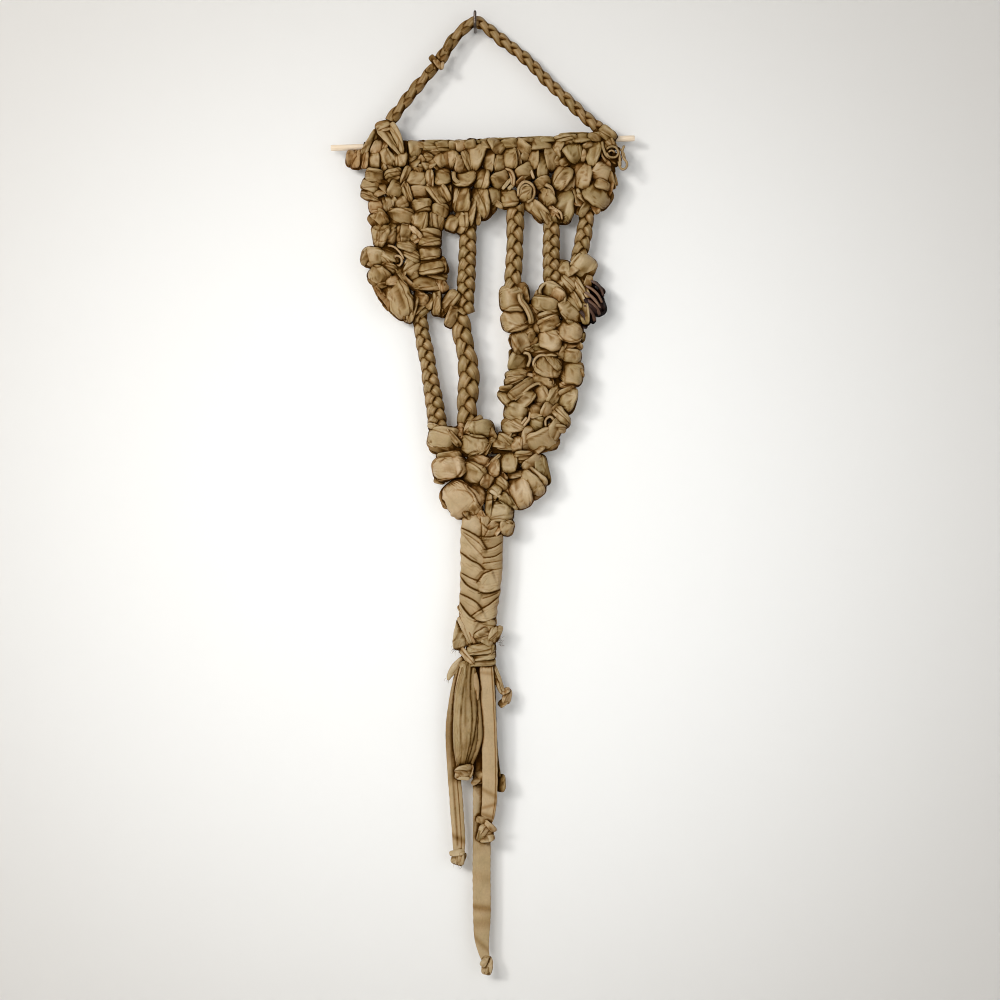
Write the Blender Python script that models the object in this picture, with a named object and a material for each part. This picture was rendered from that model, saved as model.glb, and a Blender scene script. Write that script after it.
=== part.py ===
"""Macrame wall hanging of cloth strips on a wooden dowel, hung from a small wall hook.

Metres, +Z up. The origin is where the hook's shank meets the wall: the wall is the plane Y = 0, and the
hanging is in front of it, at negative Y. Tables are in millimetres from that point, X to the right and Z up.
"""

import math
from collections import namedtuple

import bmesh
import bpy
from mathutils import Vector
from mathutils.geometry import interpolate_bezier

MM = 0.001

# Driving dimensions, in metres.
GAP = 0.3 * MM  # left between pieces that touch
ROOM = 3 * GAP  # how much larger a cutter is than the knot that it makes room for
MIDDLE = -16 * MM  # the net's middle plane, in front of the wall

DOWEL_LENGTH = 305 * MM  # a 12 inch dowel
DOWEL_RADIUS = 3 * MM
DOWEL_CENTRE = Vector((7.7 * MM, MIDDLE, -115.1 * MM))
DOWEL_TILT = math.radians(1.83)  # its right end hangs higher
DOWEL_CHAMFER = 0.5 * MM
DOWEL_SIDES = 24

HOOK_RADIUS = 1.5 * MM
HOOK_REACH = 25 * MM  # from the wall to the upturned tip
HOOK_TIP = 16 * MM  # the tip's height above the shank
HOOK_BEND = 5 * MM

HANGER_THICK = 9 * MM
HANGER_PITCH = 8.6 * MM

PLAIT_PITCH = 9.6 * MM  # from one fold of a thin plait to the next on the same side
THICK_PITCH = 19 * MM
FOLD_DIP = 0.8  # a plait's half width and half thickness between two folds, as a share of those at a fold

HEADER_LEFT = -109 * MM
HEADER_RIGHT = 133 * MM
HEADER_DROP = 34 * MM  # from the dowel's axis to the loops' lower ends
HEADER_LOOPS = 21
HEADER_WALL = 2.2 * MM  # cloth over the dowel's top
HEADER_THICK = 21 * MM

CLOTH = ("khaki_cloth", (0.44, 0.32, 0.17), 0.62, 0.0)
PALE_WOOD = ("pale_wood", (0.74, 0.56, 0.40), 0.55, 0.0)
STEEL = ("dark_steel", (0.07, 0.06, 0.06), 0.35, 1.0)

# A knot is a pad of tied strips: its middle, its size across and along the strips, how far the strips are
# turned from upright, its thickness front to back, how far its middle stands in front of the net's, and the
# number of strips that ridge its face.
Knot = namedtuple("Knot", "x z wide tall turn thick front ridges")

SIDE_NUB = [Knot(-118, -132, 22, 19, -8, 14, 0, 3)]

PANEL_KNOTS = [
    Knot(-94, -169, 26, 36, 24, 19, 1, 3),
    Knot(-69, -165, 30, 36, -30, 20, 2, 3),
    Knot(-40, -163, 28, 38, 12, 20, 1, 3),
    Knot(-12, -163, 26, 42, 0, 21, 1, 2),
    Knot(16, -163, 28, 42, -8, 21, 2, 3),
    Knot(47, -158, 27, 38, 10, 20, 2, 3),
    Knot(86, -164, 33, 52, -10, 21, 1, 3),
    Knot(119, -159, 36, 50, 12, 20, 1, 3),
    Knot(-90, -192, 30, 26, -34, 19, 1, 3),
    Knot(-63, -191, 29, 29, 10, 20, 2, 3),
    Knot(-38, -191, 28, 29, 38, 19, 1, 3),
]

LEFT_LOBE = [
    Knot(-90, -212, 31, 29, 10, 20, 0, 3),
    Knot(-64, -225, 28, 46, -12, 22, 1, 3),
    Knot(-41, -213, 28, 26, 68, 20, 0, 2),
    Knot(-92, -235, 30, 34, 62, 20, 0, 3),
    Knot(-41, -238, 30, 28, 78, 22, 2, 3),
    Knot(-92, -258, 26, 38, 8, 22, 0, 3),
    Knot(-76, -271, 30, 45, 4, 25, 2, 3),
    Knot(-41, -264, 34, 42, -58, 22, 0, 3),
]

RIGHT_LOBE = [
    Knot(42, -285, 26, 50, 4, 24, 1, 2),
    Knot(75, -267, 32, 32, 66, 24, 1, 2),
    Knot(73, -297, 46, 35, 90, 25, 1, 3),
    Knot(101, -252, 26, 42, 18, 21, 0, 3),
    Knot(96, -288, 30, 50, 14, 24, 0, 2),
    Knot(119, -273, 24, 50, 12, 22, -1, 4),
    Knot(49, -331, 27, 50, 6, 25, 0, 3),
    Knot(73, -339, 36, 44, -22, 28, 2, 2),
    Knot(96, -347, 27, 64, -4, 24, 0, 2),
    Knot(46, -372, 30, 38, -42, 26, 1, 3),
    Knot(69, -379, 36, 46, 14, 26, 1, 4),
    Knot(45, -401, 28, 32, -10, 23, 0, 3),
    Knot(66, -410, 30, 44, 70, 26, 1, 2),
    Knot(82, -385, 30, 44, 8, 23, -1, 3),
]

CLUSTER = [
    Knot(-30, -414, 29, 32, -6, 24, 0, 2),
    Knot(1, -413, 35, 42, 6, 28, 2, 2),
    Knot(-21, -441, 36, 28, 16, 26, 1, 1),
    Knot(-1, -446, 34, 30, -14, 24, 0, 2),
    Knot(-12, -472, 38, 40, -14, 29, 2, 2),
    Knot(22, -455, 28, 52, 10, 23, 0, 3),
    Knot(33, -436, 28, 32, 0, 24, 1, 2),
    Knot(57, -442, 32, 38, 46, 25, 0, 3),
    Knot(46, -466, 32, 42, 30, 25, 1, 2),
    Knot(25, -486, 30, 46, 0, 25, 1, 3),
]

# A plait follows a route, a row for each bend, with its width there.
Bend = namedtuple("Bend", "x z wide")

PLAITS = {
    "inner_left": [Bend(-8, -184, 16), Bend(-8, -220, 15), Bend(-9, -255, 15), Bend(-11, -292, 17)],
    "inner_middle": [Bend(41, -172, 16), Bend(41, -205, 15), Bend(40, -235, 15), Bend(38, -266, 16)],
    "inner_right": [Bend(77, -182, 17), Bend(77, -205, 16), Bend(76, -232, 16), Bend(76, -262, 16)],
    "outer_right": [Bend(115, -174, 17), Bend(112, -197, 15), Bend(108, -220, 15), Bend(101, -246, 17)],
    "lower_left": [Bend(-56, -284, 14), Bend(-50, -314, 13), Bend(-43, -352, 13), Bend(-36, -408, 15)],
    "lower_right": [Bend(-13, -283, 19), Bend(-9, -316, 18), Bend(-5, -350, 19), Bend(-7, -405, 17)],
}
THICK_PLAIT = [Bend(5, -484, 40), Bend(6, -528, 44), Bend(4, -570, 39), Bend(3, -600, 35), Bend(3, -616, 33)]

# The hanging cord's route over the hook and down to each end of the dowel.
HANGER_ROUTE = [
    Bend(-91, -100, 12),
    Bend(-62, -65, 12),
    Bend(-21, -10, 12),
    Bend(3, 8.1, 12),
    Bend(27, -10, 12),
    Bend(92, -71, 13),
    Bend(127, -103, 13),
]
HANGER_KNOTS = [
    Knot(-93, -112, 30, 38, 22, 18, 0, 3),
    Knot(128, -109, 26, 36, -20, 18, 0, 3),
    Knot(140, -127, 11, 34, 18, 9, 0, 1),
]

# A torn end that stands out of the thick plait, on each side.
TORN_ENDS = [Knot(-16, -607, 12, 34, 10, 6, 1, 1), Knot(22, -607, 11, 28, -12, 7, 0, 2)]

WRAP = Knot(2, -627, 27, 33, 90, 24, 0, 3)  # three turns that tie the tails
WRAP_TOP = -616 * MM - GAP  # where it meets the thick plait's flat end

# A tail is a strip: its route's rows, how far its middle stands in front of the net's, and its thickness.
Tail = namedtuple("Tail", "route front thick")
TAILS = {
    "left": Tail([Bend(-14, -632, 12), Bend(-21, -690, 13), Bend(-21, -745, 13), Bend(-15, -829, 12)], -3, 3),
    "folded": Tail([Bend(-6, -632, 15), Bend(-9, -670, 24), Bend(-7, -708, 26), Bend(-11, -741, 13)], 4, 9),
    "right": Tail([Bend(9, -632, 13), Bend(13, -680, 16), Bend(15, -760, 16), Bend(12, -797, 11)], 3, 3),
    "scrap": Tail([Bend(-12, -634, 8), Bend(-19, -643, 9), Bend(-27, -652, 6)], 2, 3),
    "short": Tail([Bend(14, -634, 8), Bend(21, -650, 9), Bend(29, -664, 8)], 0, 4),
    "long": Tail([Bend(4, -632, 14), Bend(6, -740, 18), Bend(8, -896, 17), Bend(12, -931, 8)], -7, 3),
    "hidden_left": Tail([Bend(2, -632, 7), Bend(4, -690, 8), Bend(4, -746, 8)], -2.5, 3),
    "hidden_right": Tail([Bend(15, -634, 7), Bend(22, -690, 8), Bend(24, -750, 7)], -2.5, 3),
}
TAIL_KNOTS = [
    Knot(-17, -831, 15, 15, 80, 13, -3, 2),
    Knot(-11, -745, 17, 19, 70, 15, 4, 3),
    Knot(12, -804, 18, 19, 76, 15, 3, 2),
    Knot(32, -670, 10, 16, 10, 10, 0, 2),
    Knot(12, -939, 12, 20, 6, 11, -7, 2),
    Knot(4, -751, 9, 12, 20, 8, -2.5, 2),
    Knot(25, -757, 8, 18, -6, 8, -2.5, 2),
]


def clear_scene():
    for thing in list(bpy.data.objects):
        bpy.data.objects.remove(thing, do_unlink=True)


def material(finish):
    """A plain Principled material, made once for each finish."""
    name, colour, roughness, metallic = finish
    made = bpy.data.materials.get(name)
    if made:
        return made
    made = bpy.data.materials.new(name)
    made.use_nodes = True
    shader = made.node_tree.nodes["Principled BSDF"]
    shader.inputs["Base Color"].default_value = (*colour, 1)
    shader.inputs["Roughness"].default_value = roughness
    shader.inputs["Metallic"].default_value = metallic
    made.diffuse_color = (*colour, 1)
    return made


def new_object(name, mesh, finish, collection=None):
    made = bpy.data.objects.new(name, mesh)
    (collection or bpy.context.scene.collection).objects.link(made)
    mesh.materials.append(material(finish))
    return made


def skin(name, rings):
    """A closed mesh over a row of rings, each a list of as many points, with a cap on each end."""
    shape = bmesh.new()
    rows = [[shape.verts.new(point) for point in ring] for ring in rings]
    for low, high in zip(rows, rows[1:]):
        for i, corner in enumerate(low):
            after = (i + 1) % len(low)
            shape.faces.new((corner, low[after], high[after], high[i]))
    shape.faces.new(list(reversed(rows[0])))
    shape.faces.new(rows[-1])
    bmesh.ops.recalc_face_normals(shape, faces=shape.faces)
    mesh = bpy.data.meshes.new(name)
    shape.to_mesh(mesh)
    shape.free()
    return mesh


# The section of a knot along its strips: how far along, and how wide and how thick it is there.
KNOT_SECTIONS = [(-1.0, 0.60, 0.38), (-0.7, 0.90, 0.82), (0.0, 1.0, 1.0), (0.7, 0.90, 0.82), (1.0, 0.60, 0.38)]
RIDGE = 0.2  # how deep the groove between two strips is, as a share of half the thickness
NET_REACH = 1.2  # a knot of the net runs this much past its own face, into its neighbours


def knot_mesh(name, knot, grow=0.0, reach=1.0):
    """A pad whose face is ridged by its strips and whose ends tuck in. grow makes it larger all over."""
    middle = Vector((knot.x * MM, MIDDLE - knot.front * MM, knot.z * MM))
    angle = math.radians(knot.turn)
    across = Vector((math.cos(angle), 0, math.sin(angle)))
    along = Vector((-math.sin(angle), 0, math.cos(angle)))
    out = Vector((0, -1, 0))
    half_wide = knot.wide * MM / 2 * reach + grow
    half_tall = knot.tall * MM / 2 * reach + grow
    half_thick = knot.thick * MM / 2 + grow
    steps = 2 * knot.ridges
    rings = []
    for way, wide, thick in KNOT_SECTIONS:
        ring = []
        for side in (1, -1):
            for step in range(steps):
                place = side * (-1 + 2 * step / steps)
                crown = math.sqrt(1 - 0.8 * place * place)
                groove = RIDGE if step % 2 == 0 else 0.0
                height = 0.0 if step == 0 else side * (crown - groove)
                ring.append(
                    middle
                    + across * half_wide * wide * place
                    + along * half_tall * way
                    + out * half_thick * thick * height
                )
        rings.append(ring)
    return skin(name, rings)


def smooth_route(bends, spacing):
    """Points a set distance apart on a smooth curve through the bends: (x, z, width) in metres."""
    knots = [Vector((bend.x * MM, bend.z * MM, bend.wide * MM)) for bend in bends]
    fine = []
    for i in range(len(knots) - 1):
        before = knots[max(i - 1, 0)]
        after = knots[min(i + 2, len(knots) - 1)]
        leave = knots[i] + (knots[i + 1] - before) / 6
        arrive = knots[i + 1] - (after - knots[i]) / 6
        fine += interpolate_bezier(knots[i], leave, arrive, knots[i + 1], 40)[:-1]
    fine.append(knots[-1])
    travelled = [0.0]
    for a, b in zip(fine, fine[1:]):
        travelled.append(travelled[-1] + (b - a).xy.length)
    count = max(2, round(travelled[-1] / spacing))
    found = []
    at = 0
    for step in range(count + 1):
        want = travelled[-1] * step / count
        while at < len(fine) - 2 and travelled[at + 1] < want:
            at += 1
        share = (want - travelled[at]) / (travelled[at + 1] - travelled[at])
        found.append(fine[at].lerp(fine[at + 1], min(share, 1.0)))
    return found


def frames_along(points):
    """The sideways direction at each point of a route, square to it in the wall's plane."""
    sides = []
    for i in range(len(points)):
        step = points[min(i + 1, len(points) - 1)] - points[max(i - 1, 0)]
        sides.append(Vector((-step.y, 0, step.x)).normalized())
    return sides


def plait_mesh(name, bends, pitch, thick, front=0.0, grow=0.0):
    """A flat three-strand plait: its strands fold over by turns at its left and its right edge."""
    points = smooth_route(bends, pitch / 2)
    rings = []
    for i, (point, side) in enumerate(zip(points, frames_along(points))):
        middle = Vector((point.x, MIDDLE - front, point.y))
        half = point.z / 2 + grow
        deep = thick / 2 + grow
        left, right = (1.0, FOLD_DIP) if i % 2 == 0 else (FOLD_DIP, 1.0)
        section = [
            (-left, 0.0),
            (-0.55, right),
            (0.0, 0.88),
            (0.55, left),
            (right, 0.0),
            (0.55, -right),
            (0.0, -0.88),
            (-0.55, -left),
        ]
        rings.append([middle + side * half * u + Vector((0, -deep * v, 0)) for u, v in section])
    return skin(name, rings)


def tail_mesh(name, tail):
    """A hanging strip whose edges curl back."""
    points = smooth_route(tail.route, 22 * MM)
    rings = []
    half_thick = tail.thick * MM / 2
    for point, side in zip(points, frames_along(points)):
        middle = Vector((point.x, MIDDLE - tail.front * MM, point.y))
        half = point.z / 2
        section = [
            (-1.0, -0.5),
            (-0.6, 0.7),
            (0.0, 1.0),
            (0.6, 0.7),
            (1.0, -0.5),
            (0.6, -1.0),
            (0.0, -0.7),
            (-0.6, -1.0),
        ]
        rings.append([middle + side * half * u + Vector((0, -half_thick * v, 0)) for u, v in section])
    return skin(name, rings)


def dowel_height(x):
    """The height of the dowel's axis at x."""
    return DOWEL_CENTRE.z + (x - DOWEL_CENTRE.x) * math.tan(DOWEL_TILT)


def header_mesh(name):
    """The row of loops that the dowel passes through: one ridged bar, a ridge for each loop."""
    rings = []
    steps = 2 * HEADER_LOOPS
    top = DOWEL_RADIUS + GAP + HEADER_WALL
    for step in range(steps + 1):
        x = HEADER_LEFT + (HEADER_RIGHT - HEADER_LEFT) * step / steps
        crest = step % 2 == 1
        end = step in (0, steps)
        swell = 1.0 if crest else 0.8
        swell *= 0.9 if end else 1.0
        half = HEADER_THICK / 2 * swell
        drop = HEADER_DROP * (0.97 + 0.05 * math.sin(1.7 * step)) * (1.0 if crest else 0.9)
        axis = dowel_height(x)
        section = [
            (0.0, top),
            (0.72, top * 0.62),
            (0.9, -0.16 * drop),
            (1.0, -0.5 * drop),
            (0.78, -0.85 * drop),
            (0.0, -drop),
            (-0.78, -0.85 * drop),
            (-1.0, -0.5 * drop),
            (-0.9, -0.16 * drop),
            (-0.72, top * 0.62),
        ]
        rings.append([Vector((x, MIDDLE - half * out, axis + rise)) for out, rise in section])
    return skin(name, rings)


def rod_mesh(name, radius, length, sides=DOWEL_SIDES):
    """A rod along X, with its ends closed."""
    rings = []
    for x in (-length / 2, length / 2):
        turns = [2 * math.pi * i / sides for i in range(sides)]
        rings.append([Vector((x, radius * math.cos(t), radius * math.sin(t))) for t in turns])
    return skin(name, rings)


def boolean(target, operation, operand):
    """Joins or cuts target with an object, or with all of a collection's objects."""
    cut = target.modifiers.new(operation.lower(), "BOOLEAN")
    cut.operation = operation
    cut.solver = "EXACT"
    if isinstance(operand, bpy.types.Collection):
        cut.operand_type = "COLLECTION"
        cut.collection = operand
    else:
        cut.object = operand


def helpers(name):
    """A collection for meshes that only join or cut others."""
    made = bpy.data.collections.new(name)
    bpy.context.scene.collection.children.link(made)
    return made


def add_helper(mesh, collection):
    made = new_object(mesh.name, mesh, CLOTH, collection)
    made.hide_render = True
    made.display_type = "WIRE"
    return made


def make_dowel():
    dowel = new_object("dowel", rod_mesh("dowel", DOWEL_RADIUS, DOWEL_LENGTH), PALE_WOOD)
    dowel.location = DOWEL_CENTRE
    dowel.rotation_euler = (0, -DOWEL_TILT, 0)
    bevel = dowel.modifiers.new("chamfer", "BEVEL")
    bevel.width = DOWEL_CHAMFER
    bevel.segments = 1
    dowel.data.shade_smooth()
    return dowel


def make_hook():
    """A plain wire hook: out of the wall, then up in front of the hanging cord."""
    curve = bpy.data.curves.new("wall_hook", "CURVE")
    curve.dimensions = "3D"
    curve.bevel_depth = HOOK_RADIUS
    curve.bevel_resolution = 2
    curve.use_fill_caps = True
    points = [Vector((0, 0, 0)), Vector((0, -HOOK_REACH / 2, 0))]
    for step in range(6):
        turn = math.radians(90 * step / 5)
        away = -HOOK_REACH + HOOK_BEND * (1 - math.sin(turn))
        points.append(Vector((0, away, HOOK_BEND * (1 - math.cos(turn)))))
    points.append(Vector((0, -HOOK_REACH, HOOK_TIP)))
    line = curve.splines.new("POLY")
    line.points.add(len(points) - 1)
    for place, point in zip(line.points, points):
        place.co = (*point, 1)
    return new_object("wall_hook", curve, STEEL)


def make_hanger(dowel_cutter):
    """The plaited hanging cord and the knots that tie it to the dowel's ends."""
    hanger = new_object("hanger", plait_mesh("hanger", HANGER_ROUTE, HANGER_PITCH, HANGER_THICK), CLOTH)
    ends = helpers("hanger_ends")
    for i, knot in enumerate(HANGER_KNOTS):
        add_helper(knot_mesh(f"hanger_end_{i}", knot), ends)
    boolean(hanger, "UNION", ends)
    boolean(hanger, "DIFFERENCE", dowel_cutter)
    return hanger


def make_net(dowel_cutter):
    """The knotted net: header loops, knots and plaits fused, with room for the dowel and the cord's knots."""
    net = new_object("macrame", header_mesh("macrame"), CLOTH)
    strands = helpers("net_strands")
    for i, knot in enumerate(SIDE_NUB + PANEL_KNOTS + LEFT_LOBE + RIGHT_LOBE + CLUSTER):
        add_helper(knot_mesh(f"net_knot_{i}", knot, reach=NET_REACH), strands)
    for i, knot in enumerate(TORN_ENDS):
        add_helper(knot_mesh(f"torn_end_{i}", knot), strands)
    for name, bends in PLAITS.items():
        add_helper(plait_mesh(f"plait_{name}", bends, PLAIT_PITCH, 12 * MM), strands)
    add_helper(plait_mesh("plait_thick", THICK_PLAIT, THICK_PITCH, 24 * MM), strands)
    boolean(net, "UNION", strands)
    boolean(net, "DIFFERENCE", dowel_cutter)
    room = helpers("cord_room")
    for i, knot in enumerate(HANGER_KNOTS):
        add_helper(knot_mesh(f"cord_room_{i}", knot, grow=ROOM), room)
    add_helper(plait_mesh("cord_room_plait", HANGER_ROUTE, HANGER_PITCH, HANGER_THICK, grow=ROOM), room)
    boolean(net, "DIFFERENCE", room)
    return net


def block_mesh(name, low, high):
    """A block between two corners."""
    corners = [(low.x, low.y), (high.x, low.y), (high.x, high.y), (low.x, high.y)]
    return skin(name, [[Vector((x, y, z)) for x, y in corners] for z in (low.z, high.z)])


def make_tail():
    """The wrap that ties the thick plait's end, and the strips that hang from it, knotted at their ends."""
    tail = new_object("tail", knot_mesh("tail", WRAP), CLOTH)
    strips = helpers("tail_strips")
    for name, strip in TAILS.items():
        add_helper(tail_mesh(f"tail_{name}", strip), strips)
    for i, knot in enumerate(TAIL_KNOTS):
        add_helper(knot_mesh(f"tail_knot_{i}", knot), strips)
    boolean(tail, "UNION", strips)
    reach = 50 * MM
    above = (Vector((-reach, -reach, WRAP_TOP)), Vector((reach, reach, WRAP_TOP + reach)))
    boolean(tail, "DIFFERENCE", add_helper(block_mesh("above_wrap", *above), helpers("wrap_top")))
    room = helpers("torn_room")
    for i, knot in enumerate(TORN_ENDS):
        add_helper(knot_mesh(f"torn_room_{i}", knot, grow=ROOM), room)
    boolean(tail, "DIFFERENCE", room)
    return tail


def main():
    clear_scene()
    make_dowel()
    make_hook()
    cutters = helpers("cutters")
    dowel_cutter = add_helper(rod_mesh("dowel_room", DOWEL_RADIUS + GAP, DOWEL_LENGTH * 1.1), cutters)
    dowel_cutter.location = DOWEL_CENTRE
    dowel_cutter.rotation_euler = (0, -DOWEL_TILT, 0)
    make_hanger(dowel_cutter)
    make_net(dowel_cutter)
    make_tail()


main()
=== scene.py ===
"""The macrame wall hanging: khaki cloth strips knotted and plaited below a pale dowel, on a wall hook."""

import math
from collections import namedtuple

import bpy
import numpy as np
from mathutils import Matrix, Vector


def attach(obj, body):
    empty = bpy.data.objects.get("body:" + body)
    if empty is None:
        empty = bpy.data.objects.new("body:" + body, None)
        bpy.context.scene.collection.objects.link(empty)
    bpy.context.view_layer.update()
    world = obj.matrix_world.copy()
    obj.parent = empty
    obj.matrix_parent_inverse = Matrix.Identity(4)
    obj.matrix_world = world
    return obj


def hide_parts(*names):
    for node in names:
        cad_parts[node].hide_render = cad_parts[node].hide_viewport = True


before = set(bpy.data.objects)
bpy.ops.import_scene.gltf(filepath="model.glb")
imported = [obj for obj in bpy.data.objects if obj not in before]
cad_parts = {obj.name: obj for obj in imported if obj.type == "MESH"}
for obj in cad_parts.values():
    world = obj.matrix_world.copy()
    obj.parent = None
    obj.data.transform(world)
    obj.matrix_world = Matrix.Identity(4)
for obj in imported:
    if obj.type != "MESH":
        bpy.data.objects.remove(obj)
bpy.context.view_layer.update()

# Lengths are in the photograph's millimetres, 1 mm to a pixel: across to the right, down, and out in front.
MM = 0.001
HOOK_ACROSS, HOOK_DOWN = 475.0, 27.0  # the hook in the photograph
MIDDLE = 16.0  # how far the net's middle stands from the wall
BACK_LIMIT, BACK_EASE = -1.5, 2.5  # the nearest that cloth comes to the wall, and where it starts to flatten
STEP = 0.95  # the spacing of the points along a strip, and the widest between those over its face
FACE_STEP = 0.8
BEHIND_ANGLES = 5  # points of a strip's section on its back
GROW_LONG, GROW_WIDE = 1.9, 1.4  # how far a lobe goes under its neighbours
SMALL, PLAIN = 4.2, 5  # narrower lobes are not tilted, and have no creases
# Lobes darker than SUNK stand for the shade between knots: dark fillers with their shade painted in.
SUNK = 0.5  # lobes marked darker than this fill the gaps between knots and stay plain
LOBE_POWER, PLAIN_POWER = 4.2, 2.35  # how square a section is: 2 is an ellipse
STRIP_TURN = 26  # a strip's length to each set of its creases
# painted crease lines beside a band's edge: each is a dark line painted into the colour
FOLD_LINES = ((2.6, 0.34), (4.9, 0.26), (7.6, 0.2))  # beside a band's edge: how far off, how dark

# A lobe's or strip's dark is how much painted shade darkens its colour.
Pad = namedtuple(
    "Pad",
    "across down long wide turn front taper bend corner roll pitch lips pleats tone dark rough puff drift",
    defaults=(0, 0, 2.7, 0, 0, (), 0, 0.5, 0, 0.4, 0, 0),
)
Strip = namedtuple(
    "Strip",
    "route wide thick lips pleats tone dark rough narrow gather bands seams",
    defaults=((), 0, 0.5, 0, 0.3, 0.25, 0.8, (), ()),
)
Look = namedtuple(
    "Look",
    "long tone dark rough gather first last lips pleats bands seams "
    "power lean drift turns creases facets uneven",
)
P, S = Pad, Strip  # short names for the tables


# ---------------------------------------------------------------- cloth shapes


def smooth_step(x):
    x = np.clip(x, 0, 1)
    return x * x * (3 - 2 * x)


def bell(x):
    return np.exp(-(x**2))


def waves(rng, x, y, length):
    """A smooth random height over a patch, about 1 high, its hills a length apart."""
    height = np.zeros_like(x)
    for _ in range(4):
        way, at = rng.uniform(0, 2 * math.pi, 2)
        step = 2 * math.pi / (length * rng.uniform(0.75, 1.5))
        height = height + np.sin((x * math.cos(way) + y * math.sin(way)) * step + at)
    return height / 2.2


def spread_route(route, step=STEP):
    """Points a step apart on a smooth curve through the route's rows, every column of them smoothed."""
    rows = np.array(route, float)
    ends = np.vstack([2 * rows[0] - rows[1], rows, 2 * rows[-1] - rows[-2]])
    t = np.linspace(0, 1, 24, endpoint=False)[:, None]
    fine = [
        0.5 * (2 * b + (c - a) * t + (2 * a - 5 * b + 4 * c - d) * t * t + (3 * b - a - 3 * c + d) * t**3)
        for a, b, c, d in zip(ends, ends[1:], ends[2:], ends[3:])
    ]
    fine = np.vstack([*fine, rows[-1:]])
    length = np.r_[0, np.cumsum(np.linalg.norm(np.diff(fine[:, :2], axis=0), axis=1))]
    at = np.linspace(0, length[-1], max(6, round(length[-1] / step) + 1))
    return np.column_stack([np.interp(at, length, column) for column in fine.T])


def edges(*rows):
    """Edges of cloth bands: each row is how far the cloth past the edge stands out, then its points."""
    return [(tuple(zip(row[1::2], row[2::2])), row[0]) for row in rows]


def touches(route, across, down, reach):
    """Whether an edge comes within reach of a spot."""
    x, y = np.array(route).T
    return x.min() - reach < across < x.max() + reach and y.min() - reach < down < y.max() + reach


def beside(route, x, y):
    """How far points lie to the right of a route as it is travelled, and whether it is beside them."""
    line = spread_route([(*row, 0) for row in route], 1.5)[:, :2]
    best, signed, past = np.full(x.shape, 1e9), np.zeros(x.shape), np.zeros(x.shape)
    for number, (a, b) in enumerate(zip(line, line[1:])):
        long = np.linalg.norm(b - a)
        way = (b - a) / long
        run = (x - a[0]) * way[0] + (y - a[1]) * way[1]
        off = (y - a[1]) * way[0] - (x - a[0]) * way[1]
        over = np.maximum(-run, run - long)
        away = np.hypot(off, np.maximum(over, 0))
        nearer = away < best
        ends = (run < 0) if number == 0 else (run > 0) if number == len(line) - 2 else False
        best = np.where(nearer, away, best)
        signed = np.where(nearer, off, signed)
        past = np.where(nearer, np.where(ends, np.maximum(over, 0), 0), past)
    return signed, bell(past / 1.6)


def section_angles(widest, power, lips, detail):
    """The angles of a strip's section: even over its face, closer together at its lips, and a few behind."""
    angles = list(np.linspace(0, math.pi, max(9, int(2 * widest / FACE_STEP * detail)) + 1))
    step = 0.3 / widest
    for v, _ in lips:
        middle = math.acos(math.copysign(abs(v) ** (power / 2), v))
        angles += [middle + k * step for k in (-1.6, -0.5, 0, 0.5, 1.6)]
    angles = np.unique(np.round([x for x in angles if 0 <= x <= math.pi], 4))
    return np.r_[angles, np.linspace(math.pi, 2 * math.pi, BEHIND_ANGLES + 2)[1:-1]]


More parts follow.
